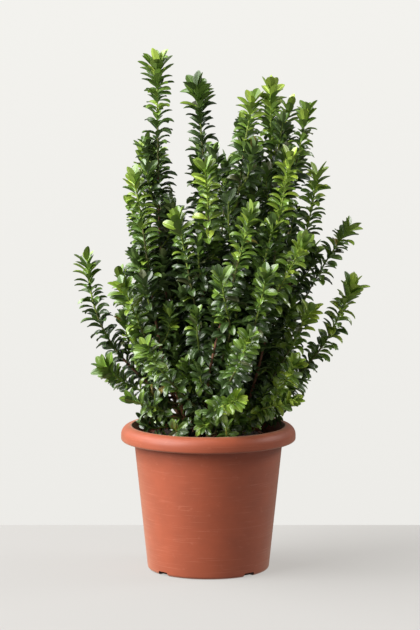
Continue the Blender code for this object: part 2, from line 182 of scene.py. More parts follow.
class StageSettings(PropertyGroup):
    floor: colour("Floor", "Colour of the floor, besides its own glow", (0.150, 0.148, 0.145))
    glow: colour("Glow", "Glow that keeps the floor's shadows shallow", (0.452, 0.437, 0.414))
    backdrop_top: colour("Backdrop top", "The backdrop at its top", (0.896, 0.888, 0.855))
    backdrop_foot: colour("Backdrop foot", "The backdrop just over the floor", (0.847, 0.838, 0.807))
    floor_end: size("Floor end", "Where the backdrop starts, behind the pot's middle", 0.237)
    camera_height: size("Camera height", "Height of the camera over the floor", EYE.z)
    camera_distance: size("Camera distance", "How far the camera stands in front", -EYE.y)
    camera_tilt: angle("Camera tilt", "How far the camera looks down", 7.158)
    lens: number("Lens", "Focal length of the camera", 170.17, unit="CAMERA")
    key: power("Key", "Strength of the soft key light", 240)
    top: power("Top", "Strength of the soft light overhead", 80)
    edge: power("Edge", "Strength of the light at the left, slightly behind", 14)
    rim: power("Rim", "Strength of the light at the right, slightly behind", 16)
    fill: share("Fill", "Strength of the light from all round", 0.25)
    sheen: share("Sheen", "Strength of the surroundings in reflections", 0.24)


SETTINGS = {
    "shrub_pot": PotSettings,
    "shrub_compost": CompostSettings,
    "shrub_stems": StemSettings,
    "shrub_shoots": ShootSettings,
    "shrub_leaves": LeafSettings,
    "shrub_stage": StageSettings,
}


# Materials

PLASTIC_SHEEN = (
    ("Sheen Weight", 0.30),
    ("Sheen Roughness", 0.45),
    ("Sheen Tint", (1.0, 0.92, 0.66, 1.0)),
)
LEAF_COAT = (("Coat Weight", 0.55), ("Coat Roughness", 0.15))


def plain(name, base, roughness, sockets=()):
    """A Principled material of plain values. Sockets pairs more of its sockets with theirs."""
    made = bpy.data.materials.new(name)
    made.use_nodes = True
    inputs = made.node_tree.nodes["Principled BSDF"].inputs
    for socket, value in (("Base Color", (*base, 1)), ("Roughness", roughness), *sockets):
        inputs[socket].default_value = value
    return made


def node(material, kind, links=(), **values):
    """A new node. Values set its sockets by name, and links pairs a socket with what feeds it."""
    made = material.node_tree.nodes.new(kind)
    for name, value in values.items():
        socket = made.inputs.get(name.replace("_", " ").title())
        if socket:
            socket.default_value = value
        else:
            setattr(made, name, value)
    for socket, source in links:
        material.node_tree.links.new(source, made.inputs[socket])
    return made


def grain(material, waves, detail=4):
    """Noise over the piece, from 0 to 1, with about so many waves a metre along each axis."""
    place = node(material, "ShaderNodeTexCoord").outputs["Object"]
    place = node(material, "ShaderNodeMapping", [("Vector", place)], scale=waves).outputs[0]
    links = [("Vector", place)]
    return node(material, "ShaderNodeTexNoise", links, scale=1, detail=detail, roughness=0.6).outputs[0]


def limits(material, source, low, high, to_low=0, to_high=1):
    """A value brought from one range into another."""
    facts = {"from_min": low, "from_max": high, "to_min": to_low, "to_max": to_high}
    return node(material, "ShaderNodeMapRange", [("Value", source)], **facts).outputs[0]


def blended(material, factor, one, other):
    """Two colours, or colour outputs, mixed by a factor."""
    made = node(material, "ShaderNodeMix", [(0, factor)], data_type="RGBA")
    for slot, tint in ((6, one), (7, other)):
        if isinstance(tint, bpy.types.NodeSocket):
            material.node_tree.links.new(tint, made.inputs[slot])
        else:
            made.inputs[slot].default_value = (*tint, 1)
    return made.outputs[2]


def feed(material, socket, source):
    shader = material.node_tree.nodes["Principled BSDF"]
    material.node_tree.links.new(source, shader.inputs[socket])


def relief(material, *layers):
    """Bumps one over the other. Each layer is its height, strength and depth in metres."""
    links = []
    for height, strength, depth in layers:
        links = [("Height", height), *links]
        bump = node(material, "ShaderNodeBump", links, strength=strength, distance=depth).outputs[0]
        links = [("Normal", bump)]
    feed(material, "Normal", bump)


def tinted(base, factor, lift=0):
    """A colour made lighter or darker by a factor."""
    return tuple(min(1, factor * c + lift) for c in base)


def pot_plastic(pot):
    """Satin plastic with fine lines from its turning, a soft mottle and scuffs."""
    made = plain("pot_plastic", pot.plastic, 0.55, PLASTIC_SHEEN)
    lines = grain(made, (9, 9, 620), detail=3)
    dashes = limits(made, grain(made, (26, 26, 900), detail=2), 0.60, 0.74, 0, 0.30)
    mottle = limits(made, grain(made, (34, 34, 34)), 0.3, 0.7)
    scuffs = limits(made, grain(made, (120, 120, 160), detail=6), 0.62, 0.80, 0, 0.35)
    tint = blended(made, mottle, tinted(pot.plastic, 0.84), pot.plastic)
    tint = blended(made, dashes, tint, pot.streaks)
    feed(made, "Base Color", blended(made, scuffs, tint, pot.streaks))
    feed(made, "Roughness", limits(made, lines, 0.25, 0.75, 0.46, 0.60))
    relief(made, (lines, 0.10, 0.0004), (grain(made, (900, 900, 900), detail=2), 0.06, 0.0002))
    return made


def peat(compost):
    """Damp fibrous compost."""
    made = plain("compost", compost.peat, 0.92)
    clods = grain(made, (260, 260, 260), detail=6)
    bits = limits(made, grain(made, (520, 520, 520), detail=2), 0.66, 0.72)
    tint = blended(made, limits(made, clods, 0.42, 0.72), compost.peat, tinted(compost.peat, 2.6))
    feed(made, "Base Color", blended(made, bits, tint, compost.bark_bits))
    feed(made, "Roughness", limits(made, clods, 0.3, 0.7, 0.75, 1.0))
    relief(made, (clods, 0.6, 0.0016))
    return made


def stem_bark(stems):
    """Young reddish bark in fine upright ridges, with pale breathing pores."""
    made = plain("stem_bark", stems.bark, 0.62)
    ridges = grain(made, (900, 900, 110), detail=5)
    pores = limits(made, grain(made, (760, 760, 1500), detail=1), 0.70, 0.76)
    tint = blended(made, limits(made, ridges, 0.34, 0.60), stems.furrows, stems.bark)
    feed(made, "Base Color", blended(made, pores, tint, tinted(stems.bark, 1.9)))
    feed(made, "Roughness", limits(made, ridges, 0.3, 0.7, 0.72, 0.52))
    relief(made, (ridges, 0.5, 0.0006), (pores, 0.4, 0.0003))
    return made


# Modelling helpers

SAME_PLACE = 0.00001


def deselect():
    bpy.ops.object.select_all(action="DESELECT")


def activate(piece):
    deselect()
    piece.select_set(True)
    bpy.context.view_layer.objects.active = piece


def editing(piece):
    """Opens the piece in edit mode with all of it selected."""
    activate(piece)
    bpy.ops.object.mode_set(mode="EDIT")
    bpy.ops.mesh.select_all(action="SELECT")


def named(name):
    """The primitive that was just added, with its name."""
    made = bpy.context.object
    made.name = made.data.name = name
    return made


def pick(piece, wanted, domain="VERT"):
    """Selects the vertices, edges or faces, and no others, whose middle passes the test."""
    bpy.ops.mesh.select_mode(type=domain)
    bpy.ops.mesh.select_all(action="DESELECT")
    bpy.ops.object.mode_set(mode="OBJECT")
    mesh = piece.data
    points = mesh.vertices
    shapes, middle = {
        "VERT": (points, lambda point: point.co),
        "EDGE": (mesh.edges, lambda edge: sum((points[k].co for k in edge.vertices), Vector()) / 2),
        "FACE": (mesh.polygons, lambda face: face.center),
    }[domain]
    for shape in shapes:
        shape.select = wanted(middle(shape))
    bpy.ops.object.mode_set(mode="EDIT")


def spun(name, outline, steps):
    """A line of (radius, height) points, extruded one after the other and spun once round Z."""
    deselect()
    bpy.ops.mesh.primitive_plane_add(size=0.001)
    piece = named(name)
    editing(piece)
    bpy.ops.mesh.merge(type="CENTER")
    bpy.ops.transform.translate(value=(outline[0][0], 0, outline[0][1]))
    for (r, z), (next_r, next_z) in zip(outline, outline[1:]):
        step = {"value": (next_r - r, 0, next_z - z)}
        bpy.ops.mesh.extrude_vertices_move(TRANSFORM_OT_translate=step)
    bpy.ops.mesh.select_all(action="SELECT")
    bpy.ops.mesh.spin(steps=steps, angle=math.tau, center=(0, 0, 0), axis=(0, 0, 1))
    bpy.ops.mesh.select_all(action="SELECT")
    bpy.ops.mesh.remove_doubles(threshold=SAME_PLACE)
    bpy.ops.mesh.normals_make_consistent(inside=False)
    bpy.ops.object.mode_set(mode="OBJECT")
    return piece


def cut_away(piece, cutter):
    """Takes the cutter out of the piece, and removes the cutter."""
    activate(piece)
    cut = piece.modifiers.new("Cut", "BOOLEAN")
    cut.operation = "DIFFERENCE"
    cut.solver = "EXACT"
    cut.material_mode = "TRANSFER"
    cut.object = cutter
    bpy.ops.object.modifier_apply(modifier=cut.name)
    bpy.data.objects.remove(cutter)


def settle(piece, slot, *nodes, crease):
    """Applies the piece's place, shades it, and hands it to the frame in place of its nodes."""
    activate(piece)
    bpy.ops.object.transform_apply(location=True, rotation=True, scale=True)
    bpy.ops.object.shade_smooth_by_angle(angle=math.radians(crease), keep_sharp_edges=False)
    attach(piece, "root")
    if nodes:
        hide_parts(*nodes)


# What a mesh's arrays hold, in order: whose they are, the value's name and its type
ARRAYS = (
    ("vertices", "co", np.float32),
    ("loops", "vertex_index", np.int32),
    ("polygons", "loop_start", np.int32),
    ("polygons", "material_index", np.int32),
)


def mesh_arrays(mesh):
    """A mesh as its points, its faces' corners, the faces' starts and the faces' materials."""
    arrays = []
    for owner, name, _ in ARRAYS:
        held = getattr(mesh, owner)
        array = np.empty(3 * len(held)) if name == "co" else np.empty(len(held), int)
        held.foreach_get(name, array)
        arrays.append(array)
    return arrays[0].reshape(-1, 3), *arrays[1:]


def joined(name, parts, materials):
    """One mesh of many small shapes, from arrays. Each part is (points, corners, starts, finishes)."""
    points, corners, starts, finishes = zip(*parts)
    shifts = np.cumsum([0] + [len(part) for part in points])
    turns = np.cumsum([0] + [len(part) for part in corners])
    corners = [part + shift for part, shift in zip(corners, shifts)]
    starts = [part + turn for part, turn in zip(starts, turns)]
    mesh = bpy.data.meshes.new(name)
    mesh.vertices.add(int(shifts[-1]))
    mesh.loops.add(int(turns[-1]))
    mesh.polygons.add(sum(len(part) for part in starts))
    for (owner, value, kind), held in zip(ARRAYS, (points, corners, starts, finishes)):
        getattr(mesh, owner).foreach_set(value, np.concatenate(held).astype(kind).ravel())
    for material in materials:
        mesh.materials.append(material)
    mesh.update(calc_edges=True)
    piece = bpy.data.objects.new(name, mesh)
    bpy.context.scene.collection.objects.link(piece)
    return piece


class Making:
    """What the operators share."""

    bl_options = {"REGISTER", "UNDO"}


# Pot

# The lip's thickness, the rounding of its inner edge, how far in its top lies, and the inner corner
LIP_WALL, MOUTH_EDGE, MOUTH_ROLL, INNER_ROUND = 0.0024, 0.0010, 0.0018, 0.003
# The bevel under the lip, across and up
UNDERCUT = (0.0004, 0.0008)
WALL_STEPS, POT_STEPS = 6, 128
NOTCHES, NOTCH_FLARE, NOTCH_BEVEL = 4, 1.38, 0.0008


def arc(middle, reach, start, end, count):
    """Points on an elliptical arc, from one angle in degrees to another."""
    turns = [math.radians(between(start, end, k / count)) for k in range(count + 1)]
    return [(middle[0] + reach[0] * math.cos(a), middle[1] + reach[1] * math.sin(a)) for a in turns]


def wall_radius(pot, height):
    return between(pot.foot_radius, pot.neck_radius, height / pot.lip_foot)


def pot_outline(pot):
    """From the middle of the floor inside, up over the lip, and down the outside to the sole."""
    crown = pot.mouth_radius + MOUTH_ROLL
    roll = pot.height - pot.lip_drop
    corner = (wall_radius(pot, pot.floor) - pot.wall - INNER_ROUND, pot.floor + INNER_ROUND)
    edge = (pot.mouth_radius + MOUTH_EDGE, pot.height - MOUTH_EDGE)
    inside = [(0, pot.floor), *arc(corner, (INNER_ROUND,) * 2, -90, 0, 4)]
    inside += [(pot.neck_radius - pot.wall, pot.lip_foot), *arc(edge, (MOUTH_EDGE,) * 2, 180, 100, 4)]
    over = arc((crown, roll), (pot.lip_radius - crown, pot.lip_drop), 90, 0, 14)
    low = (pot.lip_radius - pot.lip_round, pot.lip_foot + pot.lip_round)
    hollow = pot.lip_radius - LIP_WALL - pot.lip_round / 2
    under = arc(low, (pot.lip_round,) * 2, 0, -90, 6)[:-1]
    under += [(hollow + UNDERCUT[0], pot.lip_foot), (hollow, pot.lip_foot + UNDERCUT[1]), (hollow, roll)]
    under += [(crown, pot.height - 2 * LIP_WALL), (pot.neck_radius, pot.lip_foot + LIP_WALL)]
    heights = [between(pot.lip_foot, pot.foot_round, k / WALL_STEPS) for k in range(WALL_STEPS)]
    wall = [(wall_radius(pot, z), z) for z in heights]
    heel = (wall_radius(pot, pot.foot_round) - pot.foot_round, pot.foot_round)
    return inside + over + under + wall + arc(heel, (pot.foot_round,) * 2, 0, -90, 5) + [(0, 0)]


def notch(pot, place, shade):
    """A wedge that is wider at the floor, for one drainage notch in the foot. Its painted shade goes onto
    the faces it cuts.
    """
    deselect()
    bpy.ops.mesh.primitive_cube_add(size=1, location=(0, -pot.foot_radius, 0))
    cutter = named(f"notch_{place}")
    cutter.scale = (pot.notch_width, 2 * pot.notch_depth, 2 * pot.notch_height)
    bpy.ops.object.transform_apply(location=True, scale=True)
    editing(cutter)
    pick(cutter, lambda point: point.z < 0)
    bpy.ops.transform.resize(value=(NOTCH_FLARE, 1, 1))
    pick(cutter, lambda middle: middle.z > 0 and abs(middle.x) > NOTCH_BEVEL, "EDGE")
    bpy.ops.mesh.bevel(offset=NOTCH_BEVEL, segments=3)
    bpy.ops.object.mode_set(mode="OBJECT")
    cutter.rotation_euler.z = pot.notch_turn + place * math.tau / NOTCHES
    bpy.ops.object.transform_apply(rotation=True)
    cutter.data.materials.append(shade)
    return cutter


class SHRUB_OT_pot(Making, Operator):
    """Spins the plastic pot with its rolled lip, and cuts the drainage notches in its foot"""

    bl_idname = "shrub.pot"
    bl_label = "Pot"

    def execute(self, context):
        pot = context.scene.shrub_pot
        piece = spun("pot_body", pot_outline(pot), POT_STEPS)
        piece.data.materials.append(pot_plastic(pot))
        # The notches' cut faces carry the painted shade as their own material
        shade = plain("notch_shade", pot.notch_shade, 0.9)
        for place in range(NOTCHES):
            cut_away(piece, notch(pot, place, shade))
        settle(piece, "pot_plastic", "pot", crease=35)
        return {"FINISHED"}


# Compost

# The rings of its top, the share of the pot's radius at its foot, and that of its own with crumbs on it
RINGS, RING_SIDES, FOOT_SHARE, STREWN_SHARE = 22, 96, 0.66, 0.965
CRUMB_SHAPES, CRUMB_WIDTHS, CRUMB_HEIGHT, CRUMB_JITTER, CRUMB_RISE = 5, (0.55, 0.12), 0.42, 0.12, 0.10
CRUMB_SIZES = (0.45, 0.6, 0.8, 1, 1.5)
# Most crumbs are peat, some are bark and a few are fibre
CRUMB_TONES = (0, 0, 0, 0, 1, 1, 2)
CRUMB_ROUGHNESS = {"peat": 0.95, "bark": 0.8, "fibre": 0.85}
# Lumps a metre, and the hollow along the pot's wall: where it starts and how steep it is
LUMPS, HOLLOW_START, HOLLOW = 90, 0.86, 8


def crumb_shape(number):
    """A knobbly crumb about one unit long, as arrays."""
    deselect()
    bpy.ops.mesh.primitive_ico_sphere_add(subdivisions=1, radius=0.5)
    crumb = named(f"crumb_{number}")
    editing(crumb)
    bpy.ops.transform.resize(value=(1, CRUMB_WIDTHS[0] + CRUMB_WIDTHS[1] * number, CRUMB_HEIGHT))
    bpy.ops.transform.vertex_random(offset=CRUMB_JITTER, seed=number)
    bpy.ops.object.mode_set(mode="OBJECT")
    shape = mesh_arrays(crumb.data)
    bpy.data.objects.remove(crumb)
    return shape


def soil_height(x, y, relief):
    """How far the compost stands over its mean level, hollowed a little at the pot's wall."""
    lumps = noise.fractal(Vector((x, y, 0)) * LUMPS, 0.8, 2.1, 4)
    return relief * lumps - relief * max(0, math.hypot(x, y) / SOIL_TOP.x - HOLLOW_START) * HOLLOW


class SHRUB_OT_compost(Making, Operator):
    """Fills the pot with compost: an uneven top with loose crumbs and bits of bark"""

    bl_idname = "shrub.compost"
    bl_label = "Compost"

    def execute(self, context):
        compost = context.scene.shrub_compost
        level = SOIL_TOP.z - compost.relief
        on_top = level - SAME_PLACE
        deselect()
        bpy.ops.mesh.primitive_cone_add(
            vertices=RING_SIDES,
            radius1=POT_TOP.x * FOOT_SHARE,
            radius2=SOIL_TOP.x,
            depth=level - SOIL_FOOT.z,
            location=(0, 0, (level + SOIL_FOOT.z) / 2),
        )
        piece = named("compost")
        bpy.ops.object.transform_apply(location=True)
        editing(piece)
        pick(piece, lambda middle: middle.z > on_top, "FACE")
        for _ in range(RINGS):
            bpy.ops.mesh.inset(thickness=SOIL_TOP.x / (RINGS + 1))
        bpy.ops.mesh.poke()
        bpy.ops.object.mode_set(mode="OBJECT")
        for point in piece.data.vertices:
            if point.co.z > on_top:
                point.co.z += soil_height(point.co.x, point.co.y, compost.relief)
        piece.data.materials.append(peat(compost))
        settle(piece, "compost", "soil", crease=60)
        self.strew(compost, level)
        return {"FINISHED"}

    def strew(self, compost, level):
        """Strews the loose crumbs over the top."""
        chance = random.Random(SEED)
        shapes = [crumb_shape(number) for number in range(CRUMB_SHAPES)]
        parts = []
        for _ in range(compost.crumbs):
            out = SOIL_TOP.x * STREWN_SHARE * math.sqrt(chance.random())
            turn = chance.uniform(0, math.tau)
            x, y = out * math.cos(turn), out * math.sin(turn)
            length = compost.crumb * chance.choice(CRUMB_SIZES)
            z = level + soil_height(x, y, compost.relief) + CRUMB_RISE * length
            axis = (chance.gauss(0, 1), chance.gauss(0, 1), chance.gauss(0, 2))
            tilt = Quaternion(axis, chance.uniform(0, 3)).normalized()
            points, corners, starts, finishes = chance.choice(shapes)
            turned = points * length @ np.array(tilt.to_matrix()).T + (x, y, z)
            parts.append((turned, corners, starts, finishes + chance.choice(CRUMB_TONES)))
        colours = (compost.peat, compost.bark_bits, compost.fibres)
        finishes = zip(CRUMB_ROUGHNESS.items(), colours)
        tones = [plain(f"crumb_{name}", base, roughness) for (name, roughness), base in finishes]
        settle(joined("compost_crumbs", parts, tones), "compost", crease=30)


# Where the stems and shoots grow: the frame's own rule

CLEAR = 0.0003
# Each ring is how many stems, the share of a step it is turned by, its radius at foot and fork
STEM_RINGS = ((7, 0.25, 0.032, 0.056), (3, 0.6, 0.011, 0.020))
STEM_FORK_HEIGHT = (0.192, 0.226)
STEM_FLARE, STEM_FLARE_SHARE = 1.5, 1 / 6
STEM_LEAN = 0.6
STEM_STEPS = 7

# Where the growing tip of each shoot ends, as x, y, z, and how bright its leaves are, 0 to 3: partly their
# youth, partly painted light and shade for where the shoot stands in the crown
SHOOT_TIPS = {
    "left_spire": (-0.052, 0.000, 0.548, 1.2),
    "middle_spire": (-0.008, 0.045, 0.521, 0.2),
    "front_column": (-0.001, -0.062, 0.441, 2.2),
    "right_crown": (0.068, 0.026, 0.515, 2.3),
    "right_crown_front": (0.048, -0.026, 0.497, 1.6),
    "yellow_stem": (0.087, 0.052, 0.494, 0.8),
    "right_spire": (0.102, 0.004, 0.493, 1.5),
    "right_column": (0.086, -0.048, 0.446, 2.5),
    "right_shoulder": (0.114, -0.014, 0.424, 1.8),
    "right_arm_high": (0.145, 0.012, 0.370, 1.4),
    "right_bright": (0.098, -0.080, 0.360, 1.9),
    "centre_bright": (0.043, -0.084, 0.390, 1.1),
    "centre_right": (0.068, -0.056, 0.376, 0.5),
    "centre_back": (0.020, 0.018, 0.436, 0.4),
    "left_shoulder": (-0.070, 0.020, 0.450, 1.4),
    "left_column": (-0.078, -0.022, 0.421, 2.0),
    "left_front": (-0.031, -0.056, 0.383, 1.0),
    "left_arm": (-0.127, 0.000, 0.332, 1.0),
    "left_fan": (-0.089, -0.048, 0.318, 1.4),
    "left_low": (-0.110, -0.036, 0.232, 0.9),
    "left_skirt": (-0.064, -0.092, 0.252, 0.9),
    "left_foot": (-0.078, -0.058, 0.192, 0.7),
    "front_low": (0.014, -0.100, 0.326, 0.7),
    "front_middle": (0.060, -0.098, 0.326, 0.6),
    "right_low": (0.106, -0.050, 0.286, 2.2),
    "right_arm_low": (0.152, -0.016, 0.306, 2.3),
    "front_bright": (0.042, -0.122, 0.268, 0.8),
    "front_skirt": (0.008, -0.112, 0.204, 1.5),
    "right_skirt": (0.090, -0.072, 0.232, 2.1),
    "right_foot": (0.072, -0.062, 0.192, 2.2),
    "back_left_spire": (-0.058, 0.064, 0.446, 1.2),
    "back_middle_spire": (-0.008, 0.088, 0.446, 0.8),
    "back_crown": (0.044, 0.078, 0.470, 1.4),
    "back_right_crown": (0.086, 0.096, 0.436, 1.2),
}
# The far side is filled by rule: each row is how many shoots, their reach and their tip height
BACK_ROWS = ((5, 0.100, 0.402), (4, 0.140, 0.314), (3, 0.112, 0.232))
BACK_SPREAD = (math.radians(24), math.radians(156))
BACK_JITTER = (0.07, 0.010, 0.022)
SHOOT_STEP, SHOOT_FOOT_RADIUS = 0.030, 0.0019
LEAVING, ARRIVING = 0.34, 0.42
LEAVING_RISE, ARRIVING_LEAN = 0.55, 2.2
LOWEST_FORK, HIGHEST_FORK = 0.30, 0.92
LEAN_SHARE, CROWDING = 0.5, 0.012
STRAIGHT_FOOT = 0.005
SPREAD_ROUNDS, SPREAD_ROOM, SPREAD_PUSH, SPREAD_EASE = 24, 0.014, 0.4, 0.08


def limb_line(foot, leaving, end, arriving, steps):
    """A straight foot, and then a cubic curve that arrives along the given direction."""
    start = foot + leaving * STRAIGHT_FOOT
    reach = (end - start).length
    first = start + leaving * reach * LEAVING
    last = end - arriving * reach * ARRIVING
    points = [foot]
    for k in range(steps + 1):
        t = k / steps
        s = 1 - t
        points.append(start * s**3 + first * 3 * s * s * t + last * 3 * s * t * t + end * t**3)
    return points


class Stem:
    """One main stem of the clump, from the compost to its fork."""

    def __init__(self, number, turn, foot_ring, fork_ring, settings):
        chance = random.Random(SEED * 100 + number)
        out = Vector((math.cos(turn), math.sin(turn), 0))
        foot = out * foot_ring + UP * (SOIL_TOP.z + CLEAR)
        fork = out * fork_ring + UP * chance.uniform(*STEM_FORK_HEIGHT)
        self.name = f"stem_{number}"
        self.radius, self.fork_radius = settings.radius, settings.fork_radius
        self.points = limb_line(foot, UP, fork, (out * STEM_LEAN + UP).normalized(), STEM_STEPS - 1)

    def radius_at(self, share):
        flare = 1 + (STEM_FLARE - 1) * max(0, 1 - share / STEM_FLARE_SHARE)
        return between(self.radius, self.fork_radius, share) * flare

    def at(self, share):
        """The place and the heading at this share of the steps, short of the fork."""
        k = int(share * STEM_STEPS)
        one, other = self.points[k:k + 2]
        return one.lerp(other, share * STEM_STEPS - k), (other - one).normalized()


def make_stems(settings):
    stems = []
    for count, shift, foot_ring, fork_ring in STEM_RINGS:
        for k in range(count):
            turn = math.tau * (k + shift) / count
            stems.append(Stem(len(stems) + 1, turn, foot_ring, fork_ring, settings))
    return stems


def all_tips():
    """The named tips, and those of the far side by rule."""
    tips = {name: Vector(place[:3]) for name, place in SHOOT_TIPS.items()}
    chance = random.Random(SEED)
    for count, reach, height in BACK_ROWS:
        for k in range(count):
            jitter = [chance.uniform(-1, 1) * most for most in BACK_JITTER]
            turn = between(*BACK_SPREAD, (k + 0.5) / count) + jitter[0]
            out, rise = reach + jitter[1], height + jitter[2]
            name = f"back_{len(tips) - len(SHOOT_TIPS) + 1}"
            tips[name] = Vector((out * math.cos(turn), out * math.sin(turn), rise))
    return tips


def shoot_line(foot, leaving, tip, step=SHOOT_STEP):
    """The line from a foot to a tip, which arrives there rising, and leaning out from the middle."""
    arriving = (UP + Vector((tip.x, tip.y, 0)) * ARRIVING_LEAN).normalized()
    steps = max(2, round((tip - foot).length / step))
    return limb_line(foot, leaving, tip, arriving, steps)


class Shoot(NamedTuple):
    """One leafy shoot: its name, and the line it grows along."""

    name: str
    points: list


def share_out(stems, tips):
    """Each shoot goes to the stem that leans its way: {stem: [(name, tip), lowest first]}."""
    shared = {stem: [] for stem in stems}
    for name, tip in tips.items():
        lean = tip.xy * LEAN_SHARE
        costs = {s: (s.points[-1].xy - lean).length + CROWDING * len(shared[s]) for s in stems}
        shared[min(costs, key=costs.get)].append((name, tip))
    for held in shared.values():
        held.sort(key=lambda row: row[1].z)
    return shared


def grow_shoots(stems):
    """The highest shoot goes on from its stem's fork, the others leave the side below."""
    shoots = []
    for stem, held in share_out(stems, all_tips()).items():
        if not held:
            continue
        heading = (stem.points[-1] - stem.points[-2]).normalized()
        name, tip = held[-1]
        shoots.append(Shoot(name, shoot_line(stem.points[-1] + heading * CLEAR, heading, tip)))
        for k, (name, tip) in enumerate(held[:-1]):
            part = between(LOWEST_FORK, HIGHEST_FORK, (k + 0.5) / (len(held) - 1))
            side, along = stem.at(part)
            away = tip - side
            away = (away - along * away.dot(along)).normalized()
            leaving = (away + along * LEAVING_RISE).normalized()
            clear = stem.radius_at(part) + CLEAR + SHOOT_FOOT_RADIUS * leaving.dot(along)
            shoots.append(Shoot(name, shoot_line(side + away * clear, leaving, tip)))
    spread(shoots)
    return shoots


def way_to(points, place):
    """The shortest way from a line through points to a place, as a vector."""
    ways = []
    for a, b in zip(points, points[1:]):
        span = b - a
        t = max(0, min(1, (place - a).dot(span) / span.length_squared))
        ways.append(place - a - span * t)
    return min(ways, key=lambda way: way.length_squared)


def spread(shoots):
    """Shoots bend away from their neighbours, the more the further from their feet."""
    for _ in range(SPREAD_ROUNDS):
        for shoot in shoots:
            line = shoot.points
            last = len(line) - 1
            for k in range(2, last):
                room = SPREAD_ROOM * min(1, 2 * k / last)
                push = (line[k - 1] + line[k + 1] - line[k] * 2) * SPREAD_EASE
                for other in shoots:
                    way = way_to(other.points, line[k])
                    if other is not shoot and way.length < room:
                        push += way.normalized() * (room - way.length) * SPREAD_PUSH
                line[k] = line[k] + push


# Finer growth within the same reach

# How far a shoot bends from the frame's line: its middle to the right, its tip to the right and up
BENDS = {
    "left_spire": (-0.004, -0.003, -0.006),
    "middle_spire": (0, -0.003, -0.007),
    "front_column": (0.013, -0.002, -0.004),
    "right_crown_front": (-0.009, -0.002, 0.008),
    "right_spire": (0.013, 0.003, 0),
    "right_shoulder": (0.012, 0.002, 0.003),
    "right_column": (-0.005, 0, 0),
    "right_arm_high": (-0.020, 0.004, -0.003),
    "right_arm_low": (0.006, 0, 0),
    "left_arm": (-0.013, -0.003, 0),
    "left_fan": (0, 0, -0.008),
    "left_column": (0.003, 0, 0),
    "left_low": (-0.008, 0.004, -0.010),
    "right_foot": (0, 0.012, 0),
    "front_skirt": (-0.006, 0.020, -0.002),
}
BEND_RISE = 1.6
# Where sky shows between the columns from the front: left, right, foot and top of each opening
OPENINGS = (
    (-0.040, -0.029, 0.489, 0.580),
    (-0.041, -0.024, 0.425, 0.489),
    (-0.037, -0.020, 0.392, 0.425),
    (-0.027, -0.021, 0.375, 0.392),
    (0.012, 0.031, 0.500, 0.580),
    (0.012, 0.027, 0.459, 0.500),
    (0.107, 0.127, 0.286, 0.312),
    (0.107, 0.140, 0.185, 0.220),
    (-0.100, -0.071, 0.171, 0.183),
    (-0.117, -0.085, 0.346, 0.399),
    (-0.113, -0.098, 0.311, 0.346),
    (-0.087, -0.075, 0.462, 0.485),
    (-0.044, -0.030, 0.160, 0.194),
)
# Leaves and twigs pass the pot's lip above this line, which rises outwards
SKIRT_RADIUS, SKIRT_HEIGHT, SKIRT_RISE = 0.081, 0.165, 0.5
SOIL_MARGIN, STEM_ROOM = 0.003, 1.4
# Side twigs: their reach from the middle, their first place, and how they leave their shoot
TWIG_REACH, TWIG_START, SHORTEST_TWIG, TWIG_UNDER_TIP = 0.118, 0.016, 0.018, 0.022
TWIG_LEAVING, TWIG_OUT, TWIG_LIFT, TWIG_STEP, TWIG_FOOT, TWIG_TIP = 0.75, 0.55, 0.4, 0.009, 0.006, 0.9
# How far over a twig its leaves reach
TWIG_LEAVES_OVER = (0, 0, 0.012)
FINER_LENGTH, FINER_CLEAN = 0.45, 0.010
# How far a twig, its leaves and low twigs may reach into a neighbour's room
TWIG_OVERLAP, LEAF_OVERLAP, LOW_OVERLAP = 0.006, 0.009, 0.05
LOW_START = 0.004
SPIRAL_TURN = 2.4
# How far up a stem the twigs spread out flat over the compost, and how far they reach
FOOT_PART, FOOT_LIFT, FOOT_REACH = 0.036, 0.06, 1.35
# How much lengths and distances differ from the usual one
FIRST_RANGE, REACH_RANGE, STEP_RANGE, THICK_RANGE = (0.8, 1.4), (0.6, 1.2), (0.7, 1.3), (0.6, 0.8)
# Leaves on side twigs are smaller, and the more so low in the crown
TWIG_LEAF, LOW_LEAF, LOW_PART = 0.88, 0.70, 0.27
# One shoot has yellow bark, which shows because its leaves are further apart
YELLOW_SHOOT, YELLOW_THIN = "yellow_stem", 1.5
# Where side twigs reach nearer to the tip than on other shoots
BUSHY_TIPS = {
    "right_crown": 0.024,
    "right_crown_front": 0.045,
    "right_spire": 0.045,
    "yellow_stem": 0.024,
    "back_crown": 0.016,
    "back_right_crown": 0.016,
    "right_arm_high": 0.040,
    "right_arm_low": 0.050,
    "left_arm": 0.070,
    "left_fan": 0.045,
    "left_low": 0.030,
}
# Shoots whose tip is a dense broad head, from 0 to 1
HEADS = {
    "left_spire": 1.0,
    "middle_spire": 1.0,
    "right_crown": 0.5,
    "right_arm_low": 0.4,
    "left_low": 0.7,
}
# Leaf tones run from 0, the newest, to the oldest. A bright shoot's are younger and age more slowly, and
# also hold painted light and shade for where it stands
TIP_AGE, AGEING, AGEING_GAIN = 2.8, 0.034, 0.1
TWIG_AGE, TWIG_AGEING, TWIG_LIKENESS, TWIG_JITTER, LOW_JITTER = 2.6, 0.028, 0.25, 0.3, 0.5
# How many tones darker the twigs are that stand among the high shoots: partly older leaves, partly painted
# shade inside the crown
PAINTED_SHADE_AND_AGE = 1.1
BACK_BRIGHTNESS = (0.3, 1.6)
# The leafless length of a shoot's foot, and how deep it is rooted in its stem
BARE_FOOT, ROOTED = 0.008, 0.0024
# The length of a flush of growth. Leaves are smaller and closer where one ended and the next began
FLUSHES = (0.058, 0.078)


def bent(shoots):
    """The shoots, with those that lean to one side bent so."""
    for shoot in shoots:
        middle, aside, up = BENDS.get(shoot.name, (0, 0, 0))
        last = len(shoot.points) - 1
        for k in range(last + 1):
            share = k / last
            x = middle * math.sin(math.pi * share**BEND_RISE) + aside * share**2
            shoot.points[k] = shoot.points[k] + Vector((x, 0, up * share**2))
    return shoots


